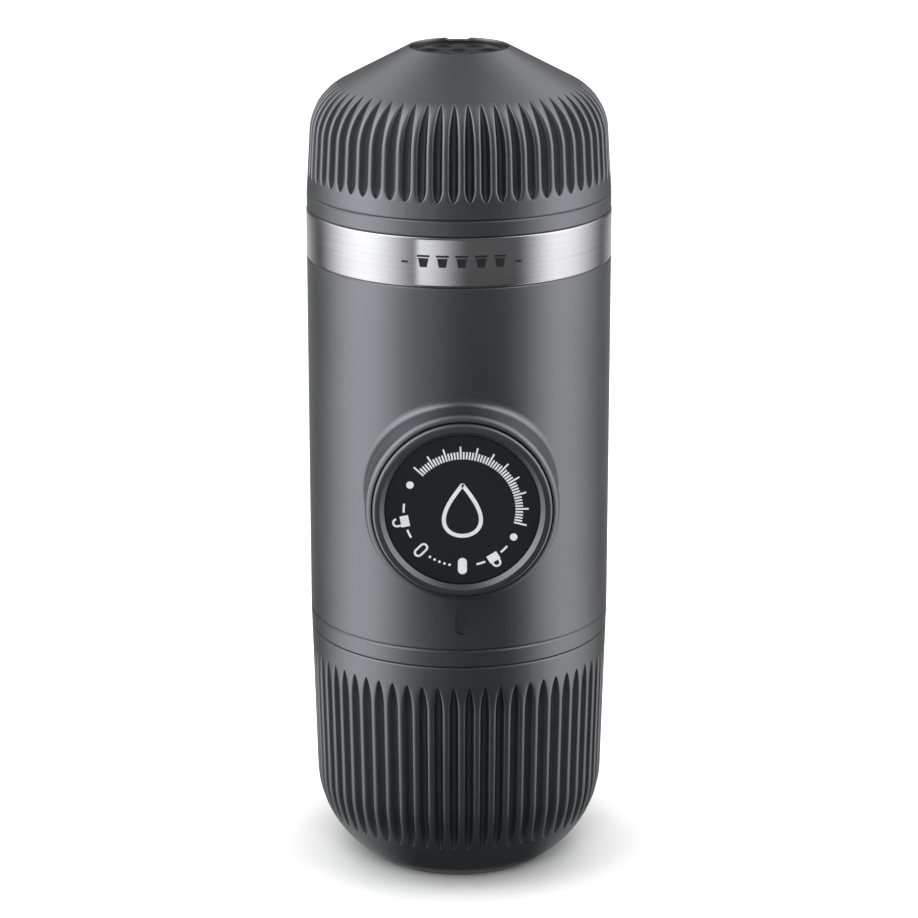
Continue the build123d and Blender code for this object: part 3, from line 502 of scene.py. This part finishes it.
def ribbed_rows(place, first_end, last_end):
    """Rows of a ribbed wall, from just before its first tips to just past its last ones.

    An end is the distance of its tips, the length of its run-outs and how blunt they are.
    """
    first_tip, first_run, first_power = first_end
    last_tip, last_run, last_power = last_end
    distances = []
    for gap in SUPPORT_GAPS:
        distances += [first_tip - gap, last_tip + gap]
    for step in range(RUN_STEPS + 1):
        share = (step / RUN_STEPS) ** RUN_SPACING
        distances += [first_tip + first_run * share, last_tip - last_run * share]
    full = first_tip + first_run
    length = last_tip - last_run - full
    count = math.ceil(length / ROW_PITCH)
    distances += [full + length * step / count for step in range(1, count)]
    rows = []
    for distance in sorted(distances):
        share = run_out((distance - first_tip) / first_run, first_power)
        share *= run_out((last_tip - distance) / last_run, last_power)
        rows.append(rib_row(*place(distance), share))
    return rows


def make_tank_skin(materials):
    """The ribbed tank, as one closed shell from the seat of its neck down to its foot."""
    top = Vector((TANK_RADIUS, TANK_TOP))
    waist = Vector((TANK_RADIUS - TANK_TAPER, HEEL_HEIGHT))
    foot = Vector((FOOT_RADIUS, 0.0))
    along = (waist - top).normalized()
    normal = Vector((-along.y, along.x))
    to_foot = foot - waist
    heel_round = -to_foot.length_squared / (2 * to_foot.dot(normal))
    centre = waist - normal * heel_round
    straight, place = wall_path(top, waist, centre, heel_round, turn=-1)
    first = math.atan2(normal.y, normal.x)
    tip_angle = math.asin((TANK_LOW_TIP - centre.y) / heel_round)
    foot_angle = math.atan2(foot.y - centre.y, foot.x - centre.x)
    low_tip = straight + heel_round * (first - tip_angle)
    heel_end = straight + heel_round * (first - foot_angle)
    high_tip = (TANK_TOP - TANK_HIGH_TIP) / -along.y
    ribs = ribbed_rows(place, (high_tip, *TANK_HIGH_RUN), (low_tip, *TANK_LOW_RUN))
    bare = heel_end - low_tip
    heel = [place(low_tip + bare * share)[0] for share in HEEL_ROWS]

    seat = TANK_TOP - SEAT_DEPTH
    inner = TANK_RADIUS - TANK_WALL
    inside = [
        (FOOT_RADIUS - TANK_WALL / 2, TANK_WALL), (FOOT_RADIUS + TANK_WALL, 2 * TANK_WALL),
        (inner - TANK_TAPER, HEEL_HEIGHT), (inner, seat), (SEAT_RADIUS, seat),
        (SEAT_RADIUS, TANK_TOP)]
    rim = rounded_corner((SEAT_RADIUS, TANK_TOP), top, waist, SEAM_ROUND)
    groove_inner, groove_outer, groove_depth = FOOT_GROOVE
    under = [
        (FOOT_RADIUS - SEAM_ROUND, 0), (groove_outer, 0), (groove_outer, groove_depth),
        (groove_inner, groove_depth), (groove_inner, 0)]
    rows = [[(0, 0, TANK_WALL)]]
    rows += plain_rows(inside + rim)
    rows += ribs
    rows += plain_rows(heel + under)
    rows.append([(0, 0, 0)])
    tank = skin("tank_skin", rows)
    finish_piece(tank, materials["grey_shell"], "grey_shell", "tank", "water_tank")


def raised(rows, height):
    """Rings lifted by a height."""
    return [[(x, y, z + height) for x, y, z in row] for row in rows]


def cut_notch(row):
    """Lower a ring's points within the notch at the back of the crown."""
    floor = CUP_HEIGHT - NOTCH_DEPTH
    return [
        (x, y, min(z, floor) if abs(x) < NOTCH_WIDTH / 2 and y > 0 else z)
        for x, y, z in row]


def make_cup_skin(materials):
    """The ribbed cup, upside down, as one closed shell with the recess in its crown."""
    rim = Vector((RIM_RADIUS, 0.0))
    shoulder = Vector((RIM_RADIUS - CUP_TAPER, SHOULDER_HEIGHT))
    crown = Vector((CROWN_RADIUS, CUP_HEIGHT))
    to_rim = (rim - shoulder).normalized()
    slope = (crown - shoulder).normalized()
    half = to_rim.angle(slope) / 2
    centre = shoulder + (to_rim + slope).normalized() * (SHOULDER_ROUND / math.sin(half))
    reach = SHOULDER_ROUND / math.tan(half)
    bend = shoulder + to_rim * reach
    arc_end = shoulder + slope * reach
    straight, place = wall_path(rim, bend, centre, SHOULDER_ROUND, turn=1)
    low_tip = CUP_LOW_TIP / -to_rim.y
    high_tip = straight + SHOULDER_ROUND * math.radians(CUP_HIGH_TIP)
    ribs = ribbed_rows(place, (low_tip, *CUP_LOW_RUN), (high_tip, *CUP_HIGH_RUN))

    recess_radius = CROWN_RADIUS - CROWN_EDGE
    recess_floor = CUP_HEIGHT - RECESS_DEPTH
    cone = [arc_end + slope * step * MM for step in CONE_ROWS]
    edge = [crown - slope * back * MM for back in CROWN_ROWS]
    edge += [(CROWN_RADIUS - CROWN_EDGE / 3, CUP_HEIGHT),
             (recess_radius, CUP_HEIGHT - CROWN_EDGE / 2),
             (recess_radius, CUP_HEIGHT - NOTCH_DEPTH), (recess_radius, recess_floor)]
    ceiling = recess_floor - CUP_WALL
    first = math.atan2(bend.y - centre.y, bend.x - centre.x)
    last = math.atan2(arc_end.y - centre.y, arc_end.x - centre.x)
    inner_round = SHOULDER_ROUND - CUP_WALL
    inner_arc = [on_circle(centre, inner_round, first + (last - first) * step / INNER_STEPS)
                 for step in range(INNER_STEPS + 1)]
    inner_end = inner_arc[-1]
    inner_corner = inner_end + slope * ((ceiling - inner_end.y) / slope.y)
    inner_rim = (RIM_RADIUS - CUP_WALL, 0)
    inside = [inner_corner] + inner_arc[::-1] + [inner_rim]
    rows = [[(0, 0, ceiling)]]
    rows += plain_rows(inside + rounded_corner(inner_rim, rim, shoulder, SEAM_ROUND))
    rows += ribs
    rows += plain_rows(cone)
    rows += [cut_notch(row) for row in plain_rows(edge)]
    rows.append([(0, 0, recess_floor)])
    cup = skin("cup_skin", raised(rows, RIM_TOP))
    finish_piece(cup, materials["grey_shell"], "grey_shell", "cup", "cup_shell")


def make_crown_disc(materials):
    """The gloss disc in the cup's crown, with soft bosses around a button in low relief."""
    low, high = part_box("cup_insert")
    base = high.z - INSERT_RELIEF

    def swell(distance, width):
        """A soft hump of height one, at a distance from its middle."""
        return math.exp(-(distance / width) ** 2)

    def top_ring(radius):
        """The ring of the disc's upper face at one radius."""
        ring = []
        for column in range(INSERT_COLUMNS):
            angle = 2 * math.pi * column / INSERT_COLUMNS
            lobe = (0.5 + 0.5 * math.cos(INSERT_BOSSES * angle)) ** 2
            rise = lobe * swell(radius - INSERT_BOSS_RING, INSERT_BOSS_WIDTH)
            rise += swell(radius - (high.x - INSERT_LIP), INSERT_LIP)
            rise += swell(radius, INSERT_BUTTON)
            height = base + INSERT_RELIEF * min(rise, 1.0)
            ring.append((radius * math.cos(angle), radius * math.sin(angle), height))
        return ring

    reach = high.x - SEAM_ROUND / 2
    rows = [[(0, 0, low.z)]]
    rows += [ring_of((high.x, height), INSERT_COLUMNS) for height in (low.z, base)]
    rows += [top_ring(reach * (1 - step / INSERT_ROWS)) for step in range(INSERT_ROWS)]
    rows.append([(0, 0, high.z)])
    disc = skin("crown_disc", rows)
    finish_piece(disc, materials["gloss_black"], "gloss_black", "cup", "cup_insert")


# ---------------------------------------------------------------- prints


def centre_line(outline):
    """The middle of an outline's points."""
    return sum(outline, Vector((0.0, 0.0))) / len(outline)


def filled(outline, place):
    """A thin closed plate from a convex outline. place puts a flat point on the surface."""
    middle = centre_line(outline)
    rows = [[place(middle, -PRINT_SINK)]]
    for lift in (-PRINT_SINK, PRINT_RISE):
        rows.append([place(point, lift) for point in outline])
    rows.append([place(middle, PRINT_RISE)])
    return shell_of(rows)


def stroke(path, width, place, closed=False):
    """A thin closed ribbon along a path."""
    rows = []
    for index, point in enumerate(path):
        before = path[index - 1] if closed or index > 0 else point
        after = path[(index + 1) % len(path)] if closed or index + 1 < len(path) else point
        run = (after - before).normalized()
        aside = Vector((-run.y, run.x)) * (width / 2)
        rows.append([
            place(point + aside, PRINT_RISE), place(point - aside, PRINT_RISE),
            place(point - aside, -PRINT_SINK), place(point + aside, -PRINT_SINK)])
    if not closed:
        rows.insert(0, [sum(rows[0], Vector()) / 4])
        rows.append([sum(rows[-1], Vector()) / 4])
    return shell_of(rows, closed)


def circle(radius, middle=(0.0, 0.0), first=0.0, turn=360.0, steps=24):
    """Points along an arc, given by angles in degrees. A full turn leaves out its last point."""
    count = steps if turn == 360.0 else steps + 1
    return [
        Vector(middle) + on_circle((0, 0), radius, math.radians(first + turn * step / steps))
        for step in range(count)]


def pill(width, length):
    """The outline of an upright capsule shape."""
    radius = width / 2
    rise = length / 2 - radius
    return circle(radius, (0, rise), 0, 180, 10) + circle(radius, (0, -rise), 180, 180, 10)


def on_knob(angle, radius=0.0):
    """Places flat points on the knob's face, upright outwards at an angle from its right."""
    out = on_circle((0, 0), 1.0, math.radians(angle))
    aside = Vector((out.y, -out.x))

    def place(point, lift):
        flat = out * (radius + point.y) + aside * point.x
        return Vector((flat.x, KNOB_FRONT - lift, KNOB_AXIS + flat.y))

    return place


def padlock(place, lifted):
    """A plain padlock sign, with its bow closed or lifted on one side."""
    width, height = PADLOCK
    body = [Vector((x * width / 2, y * height - height / 2)) for x, y in
            ((1, 0), (1, 1), (-1, 1), (-1, 0))]
    bow = width * PADLOCK_BOW
    rise = height / 2 + (bow if lifted else bow / 2)
    path = circle(bow, (0, rise), 0, 180, 12) + [Vector((-bow, height / 2))]
    if not lifted:
        path.insert(0, Vector((bow, height / 2)))
    return [filled(body, place), stroke(path, THIN_LINE, place)]


def droplet(width, height, steps=48):
    """The outline of a water drop, with its tip up."""
    points = []
    for step in range(steps):
        turn = 2 * math.pi * (step + 0.5) / steps
        across = math.sin(turn) * math.sin(turn / 2) ** DROPLET_TAPER
        points.append(Vector((across * width * DROPLET_FULLNESS, math.cos(turn) * height / 2)))
    return points


def make_knob_print(materials):
    """White marks on the knob: locked, unlocked and the way between, a scale and a drop."""
    shells = [
        filled(pill(*LOCKED_PILL), on_knob(-90, MARK_RADIUS)),
        stroke(pill(*UNLOCKED_PILL), THIN_LINE, on_knob(-135, MARK_RADIUS), closed=True)]
    for angle in WAY_DOTS:
        shells.append(filled(circle(WAY_DOT, steps=12), on_knob(angle, MARK_RADIUS)))
    for angle in ROUND_DOTS:
        shells.append(filled(circle(ROUND_DOT), on_knob(angle, MARK_RADIUS)))
    for angle, lifted in PADLOCKS:
        shells += padlock(on_knob(angle, MARK_RADIUS), lifted)
        for side in (-1, 1):
            start = angle + side * FLANK_ARC
            arc = circle(MARK_RADIUS, (0, 0), start, side * FLANK_ARC, 8)
            shells.append(stroke(arc, THIN_LINE, on_knob(90)))
    first, last, count = TICKS
    for index in range(count):
        place = on_knob(first + (last - first) * index / (count - 1), TICK_RADIUS)
        length = LONG_TICK if index % LONG_TICK_EVERY == 0 else SHORT_TICK
        shells.append(stroke([Vector((0, 0)), Vector((0, length))], TICK_WIDTH, place))
    shells.append(stroke(droplet(*DROPLET), DROPLET_LINE, on_knob(90), closed=True))
    printed = joined("knob_print", shells)
    finish_piece(printed, materials["white_print"], "pale_plastic", "knob")


def on_band(aside):
    """Places flat points on the steel band's front, at a distance round from its middle."""
    radius = BAND_HIGH.x
    middle = (BAND_LOW.z + BAND_HIGH.z) / 2

    def place(point, lift):
        angle = (aside + point.x) / radius
        reach = radius + lift
        return Vector((reach * math.sin(angle), -reach * math.cos(angle), middle + point.y))

    return place


def make_band_print(materials):
    """A row of small dark capsule signs on the band, with a dash at each end."""
    wide, narrow, tall = CAPSULE_SIGN
    cup = [Vector((wide / 2, tall / 2)), Vector((-wide / 2, tall / 2)),
           Vector((-narrow / 2, -tall / 2)), Vector((narrow / 2, -tall / 2))]
    shells = []
    for index in range(CAPSULE_SIGNS):
        place = on_band((index - (CAPSULE_SIGNS - 1) / 2) * CAPSULE_PITCH)
        shells.append(filled(cup, place))
        rim = [Vector((side * wide * CAPSULE_RIM, tall / 2 + THIN_LINE)) for side in (-1, 1)]
        shells.append(stroke(rim, THIN_LINE, place))
    for side in (-1, 1):
        place = on_band(side * (CAPSULE_SIGNS + 1) / 2 * CAPSULE_PITCH)
        shells.append(stroke([Vector((-DASH / 2, 0)), Vector((DASH / 2, 0))], THIN_LINE, place))
    printed = joined("band_print", shells)
    finish_piece(printed, materials["dark_print"], "dark_plastic", "adapter")


# ---------------------------------------------------------------- steel band and spring


def make_band(materials):
    """The polished band below the rim, with rounded edges."""
    inner = BAND_HIGH.x - BAND_WALL
    corners = [(inner, BAND_LOW.z), (BAND_HIGH.x, BAND_LOW.z),
               (BAND_HIGH.x, BAND_HIGH.z), (inner, BAND_HIGH.z)]
    outline = []
    for index, corner in enumerate(corners):
        outline += rounded_corner(
            corners[index - 1], corner, corners[(index + 1) % len(corners)], SEAM_ROUND)
    band = skin("polished_band", [ring_of(point, BAND_COLUMNS) for point in outline], closed=True)
    finish_piece(band, materials["steel_band"], "steel_band", "adapter", "steel_band")


def make_spring(materials, around=12, steps=36):
    """The return spring as a coiled wire that stretches between the pump and the plunger."""
    radius = (SPRING_HIGH.x - SPRING_LOW.x) / 2 - SPRING_WIRE
    start = SPRING_HIGH.y - SPRING_WIRE
    end = SPRING_LOW.y + SPRING_WIRE
    rows = []
    count = SPRING_TURNS * steps
    for index in range(count + 1):
        angle = 2 * math.pi * index / steps
        outward = Vector((math.cos(angle), 0, math.sin(angle)))
        middle = outward * radius + Vector((0, start + (end - start) * index / count, KNOB_AXIS))
        row = []
        for corner in range(around):
            swing = 2 * math.pi * corner / around
            row.append(middle + (outward * math.cos(swing) + Vector((0, math.sin(swing), 0)))
                       * SPRING_WIRE)
        rows.append(row)
    first = sum(rows[0], Vector()) / around
    last = sum(rows[-1], Vector()) / around
    spring = skin("spring_coil", [[first]] + rows + [[last]])
    spring.data.materials.append(materials["stainless"])
    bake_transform(spring)
    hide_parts("return_spring")


# ---------------------------------------------------------------- studio

# The dome shines faintly all round, and a little more from overhead and from behind.
DOME_RADIUS = 0.5
DOME_FOOT = 0.03
DOME_SEGMENTS = (96, 48)
DOME_BASE = 0.10
OVERHEAD = 0.12
OVERHEAD_ELEVATIONS = (35, 75)
BACK_LEVEL = 0.5
BACK_AZIMUTHS = (125, 165)
DOME_BACK_SHARE = 0.15

# World and floor
WORLD_LIGHT = 0.7
FLOOR_RADIUS = 4.0
FLOOR_SEGMENTS = 64
FLOOR_TONE = 0.8
FLOOR_ROUGHNESS = 0.9
# The floor's glow fades with its ambient occlusion near the object: a painted contact shadow.
FLOOR_SHADOW_REACH = 0.035
FLOOR_SHADOW_POWER = 3.0

# Soft lights on the dome: from and to which azimuth, how softly they start and end, radiance.
# They are brighter high up than at the low elevations that the walls see, and fade at the top.
LEFT_BOX = (-104, -49, 54, 50, 1.66)
RIGHT_BOX = (58, 108, 36, 60, 1.4)
BOX_LOW = (8, 26)
BOX_HIGH_SHARE = 1.35
BOX_TOP = (65, 95)

# Two soft lights high up behind the object, for its crown
CROWN_AZIMUTHS = (112, 162, 30, 30)
CROWN_ELEVATIONS = (42, 64, 16, 24)
CROWN_RADIANCE = 1.3

# A glowing card on the floor, which only reflections see: a painted reflection in place of the
# floor's. It is dark near the object, a painted shadow.
CARD_RADII = (0.0205, 1.4)
CARD_STEPS = 96
CARD_HEIGHT = 0.3 * MM
CARD_BASE = 0.05
# Painted shadow: within these radii of the axis, the card's lights fall from the far share to the
# near one.
CARD_SHADOW_FADE = (0.03, 0.12)
CARD_NEAR = 0.25
CARD_FAR = 0.9

# A strip low on the dome and on the far part of the card, which the band sees
STRIP = (-31.5, -12, 1, 36, 1.35)
STRIP_REACH = (0.47, 0.50)
STRIP_ELEVATIONS = (5, 9)
STRIP_BASE = 0.07

# A lamp in front that lights colours but makes no reflection
FILL_PLACE = (0.0, -0.36, 0.30)
FILL_SIZE = 0.2
FILL_POWER = 0.7


def window(tree, value, start, end, rise, fall):
    """One inside a range of values and nought outside it, with soft ends."""
    inside = map_range(tree, value, start - rise / 2, start + rise / 2, 0, 1, smooth=True)
    outside = map_range(tree, value, end - fall / 2, end + fall / 2, 1, 0, smooth=True)
    return calculate(tree, "MULTIPLY", inside, outside)


def place_of(tree):
    """Height, distance from the axis and azimuth in degrees of the place that is shaded."""
    place = tree.nodes.new("ShaderNodeTexCoord")
    split = tree.nodes.new("ShaderNodeSeparateXYZ")
    tree.links.new(place.outputs["Object"], split.inputs["Vector"])
    x, y, height = split.outputs
    reach = calculate(tree, "SQRT", calculate(
        tree, "ADD", calculate(tree, "MULTIPLY", x, x), calculate(tree, "MULTIPLY", y, y)))
    azimuth = calculate(tree, "ARCTAN2", x, calculate(tree, "MULTIPLY", y, -1.0))
    return height, reach, calculate(tree, "DEGREES", azimuth)


def side_lights(tree, azimuth):
    """The two soft boxes, by azimuth."""
    total = None
    for start, end, rise, fall, radiance in (LEFT_BOX, RIGHT_BOX):
        box = window(tree, azimuth, start, end, rise, fall)
        box = calculate(tree, "MULTIPLY", box, radiance)
        total = box if total is None else calculate(tree, "ADD", total, box)
    return total


def strip_light(tree, azimuth):
    """The strip, by azimuth, on the faint light around it."""
    start, end, rise, fall, radiance = STRIP
    strip = calculate(tree, "MULTIPLY", window(tree, azimuth, start, end, rise, fall), radiance)
    return calculate(tree, "ADD", strip, STRIP_BASE)


def back_light(tree, azimuth):
    """What the studio's far side adds, behind the object."""
    return map_range(
        tree, calculate(tree, "ABSOLUTE", azimuth), *BACK_AZIMUTHS, 0, BACK_LEVEL, smooth=True)


def dome_radiance(tree):
    """How brightly each place of the dome shines, from its azimuth and elevation."""
    height, _, azimuth = place_of(tree)
    sine = calculate(tree, "DIVIDE", height, DOME_RADIUS)
    elevation = calculate(tree, "DEGREES", calculate(tree, "ARCSINE", sine))
    below_top = map_range(tree, elevation, *BOX_TOP, 1, 0, smooth=True)
    lights = calculate(tree, "MULTIPLY", side_lights(tree, azimuth), below_top)
    lights = calculate(tree, "MULTIPLY", lights, map_range(
        tree, elevation, *BOX_LOW, 1.0, BOX_HIGH_SHARE, smooth=True))
    low = map_range(tree, elevation, *STRIP_ELEVATIONS, 1.0, 0.0, smooth=True)
    lights = calculate(tree, "ADD", lights, calculate(
        tree, "MULTIPLY", strip_light(tree, azimuth), low))
    crown = calculate(
        tree, "MULTIPLY",
        window(tree, calculate(tree, "ABSOLUTE", azimuth), *CROWN_AZIMUTHS),
        window(tree, elevation, *CROWN_ELEVATIONS))
    lights = calculate(tree, "MAXIMUM", lights, calculate(tree, "MULTIPLY", crown, CROWN_RADIANCE))
    overhead = map_range(tree, elevation, *OVERHEAD_ELEVATIONS, 0, OVERHEAD, smooth=True)
    level = calculate(tree, "MAXIMUM", overhead, calculate(
        tree, "MULTIPLY", back_light(tree, azimuth), DOME_BACK_SHARE))
    return calculate(tree, "ADD", calculate(tree, "MAXIMUM", lights, level), DOME_BASE)


def card_radiance(tree):
    """The same lights as on the dome, on the card, which darkens towards the object in a painted
    shadow.
    """
    _, reach, azimuth = place_of(tree)
    lights = calculate(tree, "MAXIMUM", side_lights(tree, azimuth), back_light(tree, azimuth))
    far = map_range(tree, reach, *STRIP_REACH, 0.0, 1.0, smooth=True)
    lights = calculate(tree, "ADD", lights, calculate(
        tree, "MULTIPLY", strip_light(tree, azimuth), far))
    lights = calculate(tree, "MULTIPLY", lights, map_range(
        tree, reach, *CARD_SHADOW_FADE, CARD_NEAR, CARD_FAR, smooth=True))
    return calculate(tree, "ADD", lights, CARD_BASE)


def glowing(name, radiance):
    """A material that shines, with its strength from a function of its place."""
    made = bpy.data.materials.new(name)
    made.use_nodes = True
    tree = made.node_tree
    tree.nodes.remove(tree.nodes["Principled BSDF"])
    glow = tree.nodes.new("ShaderNodeEmission")
    tree.links.new(radiance(tree), glow.inputs["Strength"])
    tree.links.new(glow.outputs["Emission"], tree.nodes["Material Output"].inputs["Surface"])
    return made


def staged(name, work, made):
    """A linked object of the studio, from a bmesh that is freed."""
    mesh = bpy.data.meshes.new(name)
    work.to_mesh(mesh)
    work.free()
    mesh.materials.append(made)
    thing = bpy.data.objects.new(name, mesh)
    bpy.context.scene.collection.objects.link(thing)
    return thing


def make_dome():
    """A light dome around the object, with its soft boxes. It isn't seen itself."""
    work = bmesh.new()
    around, upwards = DOME_SEGMENTS
    bmesh.ops.create_uvsphere(
        work, u_segments=around, v_segments=upwards, radius=DOME_RADIUS)
    low = [vertex for vertex in work.verts if vertex.co.z < DOME_FOOT]
    bmesh.ops.delete(work, geom=low, context="VERTS")
    dome = staged("dome", work, glowing("dome", dome_radiance))
    dome.visible_camera = False


def make_card():
    """The card that reflections see instead of the white floor: a painted reflection."""
    work = bmesh.new()
    inner, outer = (
        [work.verts.new(point) for point in ring_of((radius, CARD_HEIGHT), CARD_STEPS)]
        for radius in CARD_RADII)
    for step in range(CARD_STEPS):
        after = (step + 1) % CARD_STEPS
        work.faces.new((inner[step], outer[step], outer[after], inner[after]))
    card = staged("floor_card", work, glowing("floor_card", card_radiance))
    card.visible_camera = False
    card.visible_diffuse = False
    card.visible_transmission = False
    card.visible_shadow = False


def make_fill_lamp():
    """The lamp in front, aimed at the height of the knob's axis."""
    data = bpy.data.lights.new("fill_lamp", "AREA")
    data.size = FILL_SIZE
    data.energy = FILL_POWER
    lamp = bpy.data.objects.new("fill_lamp", data)
    bpy.context.scene.collection.objects.link(lamp)
    lamp.location = FILL_PLACE
    aim = Vector((0, 0, KNOB_AXIS)) - lamp.location
    lamp.rotation_euler = aim.to_track_quat("-Z", "Y").to_euler()
    lamp.visible_camera = False
    lamp.visible_glossy = False


def seen_directly(tree):
    """One for camera, glossy and transmission rays, nought for the rest."""
    path = tree.nodes.new("ShaderNodeLightPath")
    seen = calculate(
        tree, "MAXIMUM", path.outputs["Is Camera Ray"], path.outputs["Is Glossy Ray"])
    return calculate(tree, "MAXIMUM", seen, path.outputs["Is Transmission Ray"])


def make_floor():
    """A pale floor that is white where it is seen, but for the object's shadow: real on its lit
    part, and painted into its glow from ambient occlusion.
    """
    made = bpy.data.materials.new("floor")
    made.use_nodes = True
    tree = made.node_tree
    shader = tree.nodes["Principled BSDF"]
    shader.inputs["Base Color"].default_value = (FLOOR_TONE, FLOOR_TONE, FLOOR_TONE, 1)
    shader.inputs["Roughness"].default_value = FLOOR_ROUGHNESS
    shader.inputs["Specular IOR Level"].default_value = 0.0
    shader.inputs["Emission Color"].default_value = (1, 1, 1, 1)
    # Painted contact shadow: the glow is scaled down by the ambient occlusion near the object.
    shade = tree.nodes.new("ShaderNodeAmbientOcclusion")
    shade.samples = 4
    shade.inputs["Distance"].default_value = FLOOR_SHADOW_REACH
    lit = calculate(tree, "POWER", shade.outputs["AO"], FLOOR_SHADOW_POWER)
    glow = calculate(tree, "MULTIPLY", seen_directly(tree), lit)
    tree.links.new(glow, shader.inputs["Emission Strength"])
    work = bmesh.new()
    bmesh.ops.create_circle(work, cap_ends=True, radius=FLOOR_RADIUS, segments=FLOOR_SEGMENTS)
    staged("floor", work, made)


def make_world():
    """A white world, a little dimmer as a light than where it is seen."""
    world = bpy.data.worlds.new("studio")
    bpy.context.scene.world = world
    world.use_nodes = True
    tree = world.node_tree
    background = tree.nodes["Background"]
    strength = map_range(tree, seen_directly(tree), 0, 1, WORLD_LIGHT, 1.0)
    tree.links.new(strength, background.inputs["Strength"])
    background.inputs["Color"].default_value = (1, 1, 1, 1)


# ---------------------------------------------------------------- the whole scene

make_camera()
materials = make_materials()
dress_cad_nodes(materials)
make_tank_skin(materials)
make_cup_skin(materials)
make_crown_disc(materials)
make_knob_print(materials)
make_band_print(materials)
make_band(materials)
make_spring(materials)
make_floor()
make_card()
make_dome()
make_fill_lamp()
make_world()
bpy.context.scene.view_settings.view_transform = "Standard"
